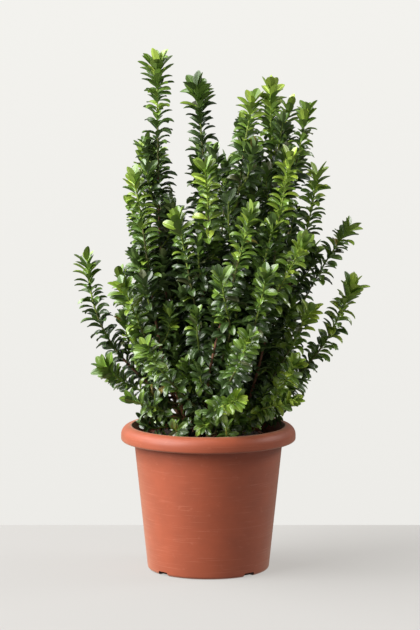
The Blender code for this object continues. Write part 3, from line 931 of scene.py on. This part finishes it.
def smooth(points, finer):
    """A curve through the points, with finer steps."""
    ends = [points[0] * 2 - points[1], *points, points[-1] * 2 - points[-2]]
    line = []
    for a, b, c, d in zip(ends, ends[1:], ends[2:], ends[3:]):
        for k in range(finer):
            t = k / finer
            bend = (a * 2 - b * 5 + c * 4 - d) * t * t + (b * 3 - a - c * 3 + d) * t**3
            line.append((b * 2 + (c - a) * t + bend) / 2)
    return [*line, points[-1]]


class Space:
    """The room that a shoot's twigs and leaves keep to, tested for many places at once."""

    def __init__(self, shoots, stems):
        lines = [shoot.points for shoot in shoots]
        self.owners = np.concatenate([np.full(len(line) - 1, k) for k, line in enumerate(lines)])
        self.shoots = self.segments(lines)
        self.stems = self.segments([stem.points for stem in stems])
        self.stem_room = max(stem.radius for stem in stems) * STEM_ROOM

    @staticmethod
    def segments(lines):
        starts = np.array([a for line in lines for a in line[:-1]])
        return starts, np.array([b for line in lines for b in line[1:]]) - starts

    @staticmethod
    def distances(places, segments):
        """How far each place lies from each segment."""
        starts, spans = segments
        way = places[:, None] - starts
        t = np.clip((way * spans).sum(2) / (spans * spans).sum(1), 0, 1)
        return np.linalg.norm(way - spans * t[..., None], axis=2)

    def holds(self, owner, places, overlap):
        """Which of the places the shoot may use."""
        ways = self.distances(places, self.shoots)
        own = self.owners == owner
        return (ways[:, own].min(1) < ways[:, ~own].min(1) + overlap) & self.clear(places)

    @staticmethod
    def open_sky(places):
        """Which of the places would stand in an opening of the crown, as seen from the front."""
        near = -EYE.y / (places[:, 1] - EYE.y)
        x = EYE.x + (places[:, 0] - EYE.x) * near
        z = EYE.z + (places[:, 2] - EYE.z) * near
        inside = [(x > a) & (x < b) & (z > low) & (z < high) for a, b, low, high in OPENINGS]
        return np.any(inside, axis=0)

    def clear(self, places):
        """Which of the places are clear of the main stems, the compost and the pot's lip."""
        free = self.distances(places, self.stems).min(1) > self.stem_room
        out = np.hypot(places[:, 0], places[:, 1]) - SKIRT_RADIUS
        over_lip = (out < 0) | (places[:, 2] > SKIRT_HEIGHT + out * SKIRT_RISE)
        return free & over_lip & (places[:, 2] > SOIL_TOP.z + SOIL_MARGIN)


@dataclass
class Spray:
    """One leafy line: a shoot of the frame's own, or a finer twig on it.

    Its age is the tone of its youngest leaf, and ageing the length over which leaves go one tone darker.
    Bare is the length of its leafless foot, and overlap how far it may reach into a neighbour's room.
    Leaf and thin make its leaves larger and set them further apart. Flush is the length of one flush of
    growth, if any, and head how dense and broad its tip is."""

    owner: int
    points: list
    radii: tuple
    age: float
    ageing: float
    bare: float = BARE_FOOT
    overlap: float = LEAF_OVERLAP
    leaf: float = 1
    thin: float = 1
    flush: float = 0
    head: float = 0

    def __post_init__(self):
        steps = [(b - a).length for a, b in zip(self.points, self.points[1:])]
        self.lengths = np.cumsum([0, *steps])
        self.length = float(self.lengths[-1])

    def at(self, distance):
        """The place and the heading this far along."""
        k = int(np.searchsorted(self.lengths, distance, side="right")) - 1
        k = max(0, min(k, len(self.points) - 2))
        a, b = self.points[k:k + 2]
        span = self.lengths[k + 1] - self.lengths[k]
        return a.lerp(b, (distance - self.lengths[k]) / span), (b - a).normalized()


def out_from(heading, turn):
    """A direction across the heading, turned about it."""
    out = heading.orthogonal().normalized()
    out.rotate(Quaternion(heading, turn))
    return out


def twig_on(owner, place, heading, turn, length, settings, chance, age, overlap, lift=TWIG_LIFT):
    """A twig that leaves a limb here and curves up beside it, as far as its lift says."""
    out = out_from(heading, turn)
    leaving = (out + heading * TWIG_LEAVING).normalized()
    along = heading * TWIG_LEAVING * min(1, lift / TWIG_LIFT)
    tip = place + (out * TWIG_OUT + along + UP * lift).normalized() * length
    line = shoot_line(place, leaving, tip, TWIG_STEP)
    radii = (settings.radius * chance.uniform(*THICK_RANGE), settings.tip_radius * TWIG_TIP)
    low = place.z < LOW_PART
    leaf = LOW_LEAF if low else TWIG_LEAF
    # Twigs among the high shoots are darker: partly older leaves, partly painted shade
    age += 0 if low else PAINTED_SHADE_AND_AGE
    return Spray(owner, line, radii, age, TWIG_AGEING, bare=TWIG_FOOT, overlap=overlap, leaf=leaf)


def spiral(spray, start, end, spacing, chance):
    """Up a spray, where each twig leaves it: how far up, the place, the heading and the turn."""
    distance = start
    turn = chance.uniform(0, math.tau)
    while distance < end:
        yield distance, *spray.at(distance), turn
        distance += spacing * chance.uniform(*STEP_RANGE)
        turn += SPIRAL_TURN


def side_twigs(spray, space, settings, chance, length, clean):
    """Finer twigs from the lower part of a spray, where its space has room for them."""
    twigs = []
    start = TWIG_START * chance.uniform(*FIRST_RANGE)
    end = spray.length - clean
    overlap = max(TWIG_OVERLAP, spray.overlap - LEAF_OVERLAP)
    places = spiral(spray, start, end - SHORTEST_TWIG, settings.twig_spacing, chance)
    for distance, place, heading, turn in places:
        reach = min(length * chance.uniform(*REACH_RANGE), end - distance)
        age = TWIG_AGE - TWIG_LIKENESS * (TIP_AGE - spray.age) + chance.gauss(0, TWIG_JITTER)
        twig = twig_on(spray.owner, place, heading, turn, reach, settings, chance, age, spray.overlap)
        tip = twig.points[-1]
        spots = np.array([place.lerp(tip, 0.5), place.lerp(tip, 0.8), tip])
        inside = tip.xy.length < TWIG_REACH and tip.z < spray.points[-1].z - TWIG_UNDER_TIP
        inside = inside and not space.open_sky(spots + TWIG_LEAVES_OVER).any()
        if inside and space.holds(spray.owner, spots, overlap).all():
            twigs.append(twig)
    return twigs


def low_twigs(stem, owner, space, settings, chance):
    """Short twigs round a main stem, which close the foot of the clump."""
    twigs = []
    line = Spray(owner, smooth(stem.points, 2), (0, 0), 0, 1)
    places = spiral(line, LOW_START, line.length, settings.low_twig_spacing, chance)
    for distance, place, heading, turn in places:
        lift, further = (FOOT_LIFT, FOOT_REACH) if distance < FOOT_PART else (TWIG_LIFT, 1)
        reach = settings.low_twig_length * chance.uniform(*REACH_RANGE) * further
        age = TWIG_AGE + chance.gauss(0, LOW_JITTER)
        twig = twig_on(owner, place, heading, turn, reach, settings, chance, age, LOW_OVERLAP, lift)
        if space.clear(np.array([twig.points[-1]])).all():
            twigs.append(twig)
    return twigs


def main_spray(owner, shoot, settings, chance):
    """The shoot's own line as a spray, rooted in its stem and grown on at its tip."""
    # The shoot's brightness, partly youth and partly painted light and shade, sets its leaves' tones
    bright = SHOOT_TIPS.get(shoot.name, (0, 0, 0, chance.uniform(*BACK_BRIGHTNESS)))[3]
    foot, *_, last = shoot.points
    heading = (last - shoot.points[-2]).normalized()
    inwards = (shoot.points[1] - foot).normalized() * ROOTED
    line = [foot - inwards, *shoot.points[1:-1], last + heading * settings.tip_growth]
    return Spray(
        owner, smooth(line, 4), (settings.radius, settings.tip_radius),
        age=TIP_AGE - bright,
        ageing=AGEING * (1 + AGEING_GAIN * bright),
        leaf=TWIG_LEAF if last.z < LOW_PART else 1,
        thin=YELLOW_THIN if shoot.name == YELLOW_SHOOT else 1,
        flush=chance.uniform(*FLUSHES),
        head=HEADS.get(shoot.name, 0),
    )


def grow_sprays(stems, shoots, space, settings):
    """Every leafy line of the crown, shoots first and their twigs after them."""
    sprays = []
    length = settings.twig_length
    for owner, shoot in enumerate(shoots):
        chance = random.Random(SEED * 1000 + owner)
        main = main_spray(owner, shoot, settings, chance)
        clean = BUSHY_TIPS.get(shoot.name, settings.clean_tip)
        twigs = side_twigs(main, space, settings, chance, length, clean)
        sprays += [main, *twigs]
        for twig in twigs:
            sprays += side_twigs(twig, space, settings, chance, length * FINER_LENGTH, FINER_CLEAN)
    for number, stem in enumerate(stems):
        chance = random.Random(SEED * 2000 + number)
        owner = min(range(len(shoots)), key=lambda k: (shoots[k].points[0] - stem.points[-1]).length)
        sprays += low_twigs(stem, owner, space, settings, chance)
    return sprays


# Stems

STEM_SIDES, STEM_CUTS = 20, 44
# How fine the furrows are round the stem and up it, and the knots that former leaves left
BARK_RIDGES, BARK_WAVES = 2.6, 9
KNOTS, KNOT_HEIGHT, KNOT_SHARPNESS = 4, 1.3, 12


class SHRUB_OT_stems(Making, Operator):
    """Lays a barked, furrowed limb along each main stem"""

    bl_idname = "shrub.stems"
    bl_label = "Main stems"

    def execute(self, context):
        settings = context.scene.shrub_stems
        bark = stem_bark(settings)
        for number, stem in enumerate(make_stems(settings), start=1):
            deselect()
            bpy.ops.mesh.primitive_cylinder_add(
                vertices=STEM_SIDES, radius=1, depth=1, location=(0, 0, 0.5)
            )
            piece = named(f"bark_{number}")
            bpy.ops.object.transform_apply(location=True)
            editing(piece)
            pick(piece, lambda middle: 0.4 < middle.z < 0.6, "EDGE")
            bpy.ops.mesh.subdivide(number_cuts=STEM_CUTS)
            bpy.ops.object.mode_set(mode="OBJECT")
            self.lay(piece.data, stem, settings, number)
            piece.data.materials.append(bark)
            settle(piece, "bark", stem.name, crease=50)
        return {"FINISHED"}

    def lay(self, mesh, stem, settings, number):
        """Moves each point of an upright unit cylinder onto the stem, with the bark's relief."""
        line = smooth(stem.points, 6)
        for point in mesh.vertices:
            x, y, up = point.co
            spot = up * (len(line) - 1)
            k = min(int(spot), len(line) - 2)
            heading = (line[k + 1] - line[k]).normalized()
            across = (Vector((1, 0, 0)) - heading * heading.x).normalized()
            along = heading.cross(across)
            turn = math.atan2(y, x)
            ring = (BARK_RIDGES * math.cos(turn), BARK_RIDGES * math.sin(turn))
            furrows = noise.fractal(Vector((*ring, up * BARK_WAVES + number)), 0.7, 2, 3)
            knots = max(0, math.cos(up * math.tau * KNOTS + number)) ** KNOT_SHARPNESS
            radius = stem.radius_at(up) + settings.relief * (furrows + KNOT_HEIGHT * knots)
            radius *= math.hypot(x, y)
            out = across * math.cos(turn) + along * math.sin(turn)
            point.co = line[k].lerp(line[k + 1], spot - k) + out * radius


# Crown

# Where a shoot stands, by the first word of its name. The others stand in front
SIDES = {"left": "left", "right": "right", "yellow": "right", "back": "back"}
PIECE_LIMIT = 190000
# A spray of more points than this is a shoot, and its wood has more sides
LONG_SPRAY = 20
# How far from the tip the green and the olive wood reach
WOOD_AGES = (0.055, 0.120)
WOOD_ROUGHNESS = {"green": 0.45, "olive": 0.5, "brown": 0.65, "yellow": 0.45}
WOOD_SIDES, TWIG_SIDES = 8, 6
# The bud's two rings, how wide and how far up it each is, and its length
BUD_RINGS, BUD = ((1.35, 0.3), (1.1, 0.65)), 0.0026


def crown(context):
    """The crown's shoots, the space they keep to, and every spray on them."""
    stems = make_stems(context.scene.shrub_stems)
    shoots = bent(grow_shoots(stems))
    space = Space(shoots, stems)
    return shoots, space, grow_sprays(stems, shoots, space, context.scene.shrub_shoots)


def settle_crown(kind, slot, shoots, parts, tones, crease):
    """Shares the shoots' parts out by side, into pieces that stay under the limit, and settles those."""
    pieces = {}
    for shoot, held in zip(shoots, parts):
        side = SIDES.get(shoot.name.split("_")[0], "front")
        triangles = sum(len(corners) - 2 * len(starts) for _, corners, starts, _ in held)
        number = 1
        while pieces.get(f"{side}_{number}", [0])[0] + triangles > PIECE_LIMIT:
            number += 1
        piece = pieces.setdefault(f"{side}_{number}", [0, [], []])
        piece[0] += triangles
        piece[1] += held
        piece[2].append(shoot.name)
    for name, (_, held, nodes) in pieces.items():
        settle(joined(f"{kind}_{name}", held, tones), slot, *nodes, crease=crease)


def swept(spray, sides):
    """A closed tapering tube along a spray, ending in a small pointed bud, as arrays."""
    line, (thick, thin) = spray.points, spray.radii
    count = len(line)
    turns = [math.tau * j / sides for j in range(sides)]
    across = (line[1] - line[0]).normalized().orthogonal().normalized()
    points = []
    for k, place in enumerate(line):
        ahead = (line[min(k + 1, count - 1)] - line[max(k - 1, 0)]).normalized()
        across = (across - ahead * across.dot(ahead)).normalized()
        along = ahead.cross(across)
        radius = between(thick, thin, k / (count - 1))
        points += [place + (across * math.cos(a) + along * math.sin(a)) * radius for a in turns]
    for out, rise in BUD_RINGS:
        place = line[-1] + ahead * BUD * rise
        points += [place + (across * math.cos(a) + along * math.sin(a)) * thin * out for a in turns]
    points.append(line[-1] + ahead * BUD)
    side = np.arange(sides)
    after = (side + 1) % sides
    foot = np.arange(count + 1)[:, None] * sides
    walls = np.stack((foot + side, foot + after, foot + after + sides, foot + side + sides), axis=2)
    top = (count + 1) * sides
    point = np.stack((top + side, top + after, np.full(sides, len(points) - 1)), axis=1)
    corners = np.concatenate((walls.ravel(), point.ravel(), side[::-1]))
    starts = np.concatenate((4 * np.arange(top), 4 * top + 3 * np.arange(sides + 1)))
    far = spray.length - spray.lengths[np.minimum(np.arange(count + 1), count - 1)]
    ages = np.repeat(np.searchsorted(WOOD_AGES, far), sides)
    return np.array(points), corners, starts, np.concatenate((ages, 0 * side, [len(WOOD_AGES)]))


class SHRUB_OT_twigs(Making, Operator):
    """Grows the wood of the shoots and their finer twigs"""

    bl_idname = "shrub.twigs"
    bl_label = "Twigs"

    def execute(self, context):
        settings = context.scene.shrub_shoots
        shoots, _, sprays = crown(context)
        held = WOOD_ROUGHNESS.items()
        tones = [plain(f"wood_{name}", getattr(settings, name), roughness) for name, roughness in held]
        wood = [[] for _ in shoots]
        for spray in sprays:
            main = len(spray.points) > LONG_SPRAY
            points, corners, starts, finishes = swept(spray, WOOD_SIDES if main else TWIG_SIDES)
            if main and shoots[spray.owner].name == YELLOW_SHOOT:
                finishes = np.where(finishes < len(WOOD_AGES), len(tones) - 1, finishes)
            wood[spray.owner].append((points, corners, starts, finishes))
        settle_crown("twigs", "bark", shoots, wood, tones, crease=60)
        return {"FINISHED"}


# Leaves

# How far along each ring of the blade lies, and its width as a share of the widest
LEAF_OUTLINE = ((0.08, 0.09), (0.23, 0.52), (0.42, 0.89), (0.62, 1.00), (0.80, 0.84), (0.94, 0.42))
# The blade's seven lines from base to tip: how far across each lies, starting under the midrib
LEAF_LINES = (0, 1, 0.52, 0.07, -0.07, -0.52, -1)
# The finish of each strip between them: 0 is the upper face, 1 the midrib and 2 the under face
LEAF_STRIPS = (2, 0, 0, 1, 0, 0, 2)
# Faces of the unshaped sphere under this height are the leaf's foot, as pale as its midrib
FOOT_FACES = -0.72
# Each form is the bend along the leaf and the fold across it in degrees, its width and its sweep
LEAF_FORMS = (
    (4, 26, 1.06, 0.00),
    (15, 30, 1.08, 0.03),
    (36, 34, 1.04, -0.05),
    (56, 37, 1.00, 0.06),
    (78, 38, 0.97, -0.04),
)
# How the arch grows along a leaf, and how its fold eases towards the edge
ARCH_STEPS, ARCH_GAIN, FOLD_EASE = 12, 1.35, 0.42
# A leaf's tip, middle and both sides, where its space has to have room
LEAF_PROBES = ((0, -0.35, 0.85), (0, -0.08, 0.55), (0.22, -0.05, 0.55), (-0.22, -0.05, 0.55))
# A leaf without room is tried again smaller
LEAF_SHARES = (1, 0.84, 0.7)
# Leaf tones by age, and then those of the odd older leaf
LEAF_TONES = ("lime", "spring", "fresh", "mid", "deep", "dark", "weathered", "yellowed")
YOUNG, OLDEST = 2, 5
# Of the older leaves, how many are plain, weathered and yellowed
OLD_SHARES = (0.955, 0.04, 0.005)
# The midrib is paler than the leaf by this factor and lift, and the under face is nearer to grey green
RIB_GAIN, RIB_LIFT = 1.9, 0.03
UNDER_GREEN, UNDER_SHARES = (0.15, 0.21, 0.06), (0.85, 0.40)
# Lengths from the tip: where leaves are fully grown, fully spaced and no longer buds
GROWING_TIP, SPACED_TIP, BUD_TIP = 0.012, 0.030, 0.002
# How quickly leaves open down from the tip, and how much smaller they are between flushes
OPENING, FLUSH_SHARE = 0.6, 0.20
# A head's length, and how much larger, closer and flatter its leaves are
HEAD_LENGTH, HEAD_SIZE, HEAD_DENSITY, HEAD_FLATNESS = 0.046, 0.24, 0.48, 0.7
AGE_JITTER, TONE_JITTER, LEAN_JITTER, ROLL_JITTER = 0.50, 0.75, 0.20, 0.30
FORM_JITTER, TURN_JITTER = 0.6, 0.22
SIZE_RANGE, GAP_RANGE = (0.86, 1.10), (0.8, 1.2)
# Leaves roll on their stalks to turn their upper face to the light
LIGHT = Vector((-0.40, -0.66, 0.64))
OUTWARD_SHARE, LIGHT_TURN = 0.25, 0.42


def blade_point(t, side, half, bend, fold, sweep):
    """A place on the blade: t along its arching midrib, and so far to the side of it."""
    y = z = 0.0
    for k in range(ARCH_STEPS):
        lean = bend * (t * (k + 0.5) / ARCH_STEPS) ** ARCH_GAIN
        y -= math.sin(lean) * t / ARCH_STEPS
        z += math.cos(lean) * t / ARCH_STEPS
    lean = bend * t**ARCH_GAIN
    s = abs(side) / half if half else 0
    lift = half * math.tan(fold) * (s - FOLD_EASE * s * s)
    return Vector((side + sweep * t * t, y + lift * math.cos(lean), z + lift * math.sin(lean)))


def leaf_blade(number, settings, bend, fold, girth, sweep):
    """A closed blade one unit long, as arrays: base at the origin, tip along +Z, upper face to +Y."""
    lines = len(LEAF_LINES)
    deselect()
    bpy.ops.mesh.primitive_uv_sphere_add(segments=lines, ring_count=len(LEAF_OUTLINE) + 1, radius=1)
    blade = named(f"blade_{number}")
    mesh = blade.data

    def line_at(place):
        return math.atan2(place.y, place.x) % math.tau / math.tau * lines

    for face in mesh.polygons:
        at_foot = face.center.z < FOOT_FACES
        face.material_index = 1 if at_foot else LEAF_STRIPS[int(line_at(face.center))]
    heights = sorted({round(point.co.z, 4) for point in mesh.vertices})
    rings = dict(zip(heights, ((0, 0), *LEAF_OUTLINE, (1, 0))))
    thick = settings.thickness / settings.length
    for point in mesh.vertices:
        line = round(line_at(point.co)) % lines
        t, wide = rings[round(point.co.z, 4)]
        half = wide * settings.width * girth / 2
        side = half * LEAF_LINES[line]
        point.co = blade_point(t, side, half, math.radians(bend), math.radians(fold), sweep)
        if line == 0:
            point.co.y -= thick * math.sin(math.pi * t) ** 0.5
    arrays = mesh_arrays(mesh)
    bpy.data.objects.remove(blade)
    return arrays


class Leaf(NamedTuple):
    """One leaf to be: its axes, as long as its size, its place, its form and its tone."""

    turned: np.ndarray
    place: np.ndarray
    form: int
    tone: int

    def set_out(self, points, share):
        """The points of a unit leaf, on this one at a share of its size."""
        return points @ (self.turned * share).T + self.place


def leaf_frame(place, heading, turn, lean, roll):
    """The axes of a leaf: turned about its shoot, leaning out, and rolled so that it faces the light."""
    out = out_from(heading, turn)
    axis = heading * math.cos(lean) + out * math.sin(lean)
    upper = heading * math.sin(lean) - out * math.cos(lean)
    light = LIGHT + Vector((place.x, place.y, 0)).normalized() * OUTWARD_SHARE
    upper.rotate(Quaternion(axis, roll - LIGHT_TURN * light.dot(upper.cross(axis))))
    return np.array(Matrix((upper.cross(axis), upper, axis)).transposed())


def pairs_down(spray, settings, chance):
    """Crossed pairs of leaves down a spray from its tip."""
    leaves = []
    turn = chance.uniform(0, math.tau)
    far = 0.0
    while far < spray.length - spray.bare:
        place, heading = spray.at(spray.length - far)
        opened = min(1, far / settings.rosette)
        in_flush = 1
        if spray.flush:
            in_flush -= FLUSH_SHARE * (1 - math.cos(math.tau * far / spray.flush)) / 2
        in_head = spray.head * max(0, 1 - far / HEAD_LENGTH)
        grown = between(settings.tip_size, 1, min(1, far / GROWING_TIP)) * (1 + HEAD_SIZE * in_head)
        lean = between(settings.tip_lean, settings.grown_lean, opened**OPENING)
        arched = 1 + 3 * opened * (1 - HEAD_FLATNESS * in_head)
        age = spray.age + far / spray.ageing + chance.gauss(0, AGE_JITTER)
        for side in (0, math.pi):
            size = settings.length * spray.leaf * grown * in_flush * chance.uniform(*SIZE_RANGE)
            tilt = lean + chance.gauss(0, LEAN_JITTER)
            form = max(1, min(len(LEAF_FORMS) - 1, int(arched + chance.gauss(0, FORM_JITTER))))
            tone = max(0, min(OLDEST, int(age + chance.gauss(0.5, TONE_JITTER))))
            if tone > YOUNG:
                tone = chance.choices((tone, OLDEST + 1, OLDEST + 2), OLD_SHARES)[0]
            turned = leaf_frame(place, heading, turn + side, tilt, chance.gauss(0, ROLL_JITTER)) * size
            leaves.append(Leaf(turned, np.array(place), form if far > BUD_TIP else 0, tone))
        gap = between(settings.tip_spacing, settings.spacing, min(1, far / SPACED_TIP))
        gap *= spray.leaf * spray.thin * in_flush * (1 - HEAD_DENSITY * in_head)
        far += gap * chance.uniform(*GAP_RANGE)
        turn += math.pi / 2 + chance.gauss(0, TURN_JITTER)
    return leaves


def kept(leaves, spray, space):
    """The leaves that their space holds, each with the share of its size that it has room for."""
    found = []
    for share in LEAF_SHARES:
        if not leaves:
            break
        probes = np.concatenate([leaf.set_out(np.array(LEAF_PROBES), share) for leaf in leaves])
        fits = space.holds(spray.owner, probes, spray.overlap).reshape(len(leaves), -1).all(1)
        fits &= ~space.open_sky(probes.reshape(len(leaves), -1, 3)[:, 1])
        found += [(leaf, share) for leaf, fit in zip(leaves, fits) if fit]
        leaves = [leaf for leaf, fit in zip(leaves, fits) if not fit]
    return found


def leaf_finishes(settings):
    """Three plain finishes for each tone: the blade's upper face, its midrib and its under face."""
    finishes = []
    for name in LEAF_TONES:
        base = tuple(getattr(settings, name))
        own, grey = UNDER_SHARES
        under = tuple(own * c + grey * g for c, g in zip(base, UNDER_GREEN))
        finishes.append(plain(f"leaf_{name}", base, 0.36, LEAF_COAT))
        finishes.append(plain(f"rib_{name}", tinted(base, RIB_GAIN, RIB_LIFT), 0.42))
        finishes.append(plain(f"underleaf_{name}", under, 0.6))
    return finishes


class SHRUB_OT_leaves(Making, Operator):
    """Models the leaf's forms and sets crossed pairs of them down every spray"""

    bl_idname = "shrub.leaves"
    bl_label = "Leaves"

    def execute(self, context):
        settings = context.scene.shrub_leaves
        forms = [leaf_blade(number, settings, *form) for number, form in enumerate(LEAF_FORMS)]
        shoots, space, sprays = crown(context)
        leaves = [[] for _ in shoots]
        for number, spray in enumerate(sprays):
            chance = random.Random(SEED * 7000 + number)
            for leaf, share in kept(pairs_down(spray, settings, chance), spray, space):
                points, corners, starts, kinds = forms[leaf.form]
                part = (leaf.set_out(points, share), corners, starts, kinds + 3 * leaf.tone)
                leaves[spray.owner].append(part)
        settle_crown("leaves", "foliage", shoots, leaves, leaf_finishes(settings), crease=22)
        return {"FINISHED"}


# Stage

# Each soft light: how far left of the camera and how high it stands, in degrees, how far away it is
# from the plant's middle, and how wide it is
LIGHTS = {
    "key": (64, 31, 3.4, 2.8),
    "top": (96, 66, 3.2, 2.5),
    "edge": (112, 31, 2.0, 1.1),
    "rim": (-98, 31, 2.0, 0.7),
}
PLANT_MIDDLE = Vector((0, 0, 0.28))
FLOOR_WIDTH, FLOOR_NEAR = 12, -5
# Between these rises of the line of sight the backdrop goes from its foot to its top
BACKDROP_FOOT, BACKDROP_TOP = -0.19, -0.02
WHITE = (1, 1, 1, 1)


class SHRUB_OT_stage(Making, Operator):
    """Sets up the pale floor and backdrop, the soft lights and the camera"""

    bl_idname = "shrub.stage"
    bl_label = "Studio"

    def execute(self, context):
        stage = context.scene.shrub_stage
        self.floor(stage)
        self.surroundings(context, stage)
        for name, facts in LIGHTS.items():
            self.softbox(f"{name}_light", getattr(stage, name), *facts)
        self.camera(context, stage)
        return {"FINISHED"}

    def floor(self, stage):
        deselect()
        bpy.ops.mesh.primitive_grid_add(x_subdivisions=4, y_subdivisions=4, size=1)
        floor = named("floor")
        editing(floor)
        bpy.ops.transform.resize(value=(FLOOR_WIDTH, stage.floor_end - FLOOR_NEAR, 1))
        bpy.ops.transform.translate(value=(0, (stage.floor_end + FLOOR_NEAR) / 2, 0))
        bpy.ops.object.mode_set(mode="OBJECT")
        glow = (("Emission Color", (*stage.glow, 1)), ("Emission Strength", 1))
        sockets = (*glow, ("Specular IOR Level", 0))
        floor.data.materials.append(plain("floor", stage.floor, 0.9, sockets))
        floor.visible_diffuse = False

    def surroundings(self, context, stage):
        """A pale backdrop for the camera, a weak even fill, and a brighter room in reflections."""
        world = bpy.data.worlds.new("studio")
        world.use_nodes = True
        world.cycles.sampling_method = "NONE"
        context.scene.world = world
        ways = node(world, "ShaderNodeTexCoord").outputs["Generated"]
        rise = node(world, "ShaderNodeSeparateXYZ", [(0, ways)]).outputs["Z"]
        height = limits(world, rise, BACKDROP_FOOT, BACKDROP_TOP)
        tint = blended(world, height, stage.backdrop_foot, stage.backdrop_top)
        seen = node(world, "ShaderNodeBackground", [("Color", tint)]).outputs[0]
        room = node(world, "ShaderNodeBackground", strength=stage.sheen, color=WHITE).outputs[0]
        fill = node(world, "ShaderNodeBackground", strength=stage.fill, color=WHITE).outputs[0]
        rays = node(world, "ShaderNodeLightPath").outputs
        links = [(0, rays["Is Diffuse Ray"]), (1, room), (2, fill)]
        unseen = node(world, "ShaderNodeMixShader", links).outputs[0]
        links = [(0, rays["Is Camera Ray"]), (1, unseen), (2, seen)]
        both = node(world, "ShaderNodeMixShader", links).outputs[0]
        world.node_tree.links.new(both, world.node_tree.nodes["World Output"].inputs["Surface"])

    def softbox(self, name, strength, turn, rise, away, width):
        """A square soft light that looks at the plant's middle."""
        turn = math.radians(turn)
        way = Vector((-math.sin(turn), -math.cos(turn), math.tan(math.radians(rise)))).normalized()
        bpy.ops.object.light_add(type="AREA", location=PLANT_MIDDLE + way * away)
        light = named(name)
        light.data.shape = "SQUARE"
        light.data.size = width
        light.data.energy = strength
        light.rotation_euler = way.to_track_quat("Z", "Y").to_euler()

    def camera(self, context, stage):
        place = (EYE.x, -stage.camera_distance, stage.camera_height)
        bpy.ops.object.camera_add(location=place, rotation=(math.pi / 2 - stage.camera_tilt, 0, 0))
        camera = named("camera")
        camera.data.lens = stage.lens
        camera.data.sensor_width = 36
        camera.data.clip_end = 60
        context.scene.camera = camera
        context.scene.view_settings.view_transform = "Standard"


# The add-on

OPERATORS = (
    SHRUB_OT_pot,
    SHRUB_OT_compost,
    SHRUB_OT_stems,
    SHRUB_OT_twigs,
    SHRUB_OT_leaves,
    SHRUB_OT_stage,
)


class SHRUB_PT_panel(Panel):
    """Lists the pieces of the shrub in the sidebar, each with its settings"""

    bl_idname = "SHRUB_PT_panel"
    bl_label = "Potted Spindle Shrub"
    bl_space_type = "VIEW_3D"
    bl_region_type = "UI"
    bl_category = "Shrub"

    def draw(self, context):
        for made, name in zip(OPERATORS, SETTINGS):
            self.layout.operator(made.bl_idname)
            box = self.layout.box()
            held = getattr(context.scene, name)
            for entry in held.bl_rna.properties:
                if entry.identifier not in ("name", "rna_type"):
                    box.prop(held, entry.identifier)


CLASSES = (*SETTINGS.values(), *OPERATORS, SHRUB_PT_panel)


def register():
    for made in CLASSES:
        bpy.utils.register_class(made)
    for name, made in SETTINGS.items():
        setattr(bpy.types.Scene, name, PointerProperty(type=made))


def unregister():
    for name in SETTINGS:
        delattr(bpy.types.Scene, name)
    for made in reversed(CLASSES):
        bpy.utils.unregister_class(made)


def main():
    """Makes the whole plant and its stage."""
    register()
    bpy.ops.shrub.pot()
    bpy.ops.shrub.compost()
    bpy.ops.shrub.stems()
    bpy.ops.shrub.twigs()
    bpy.ops.shrub.leaves()
    bpy.ops.shrub.stage()
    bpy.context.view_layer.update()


if __name__ == "__main__":
    main()
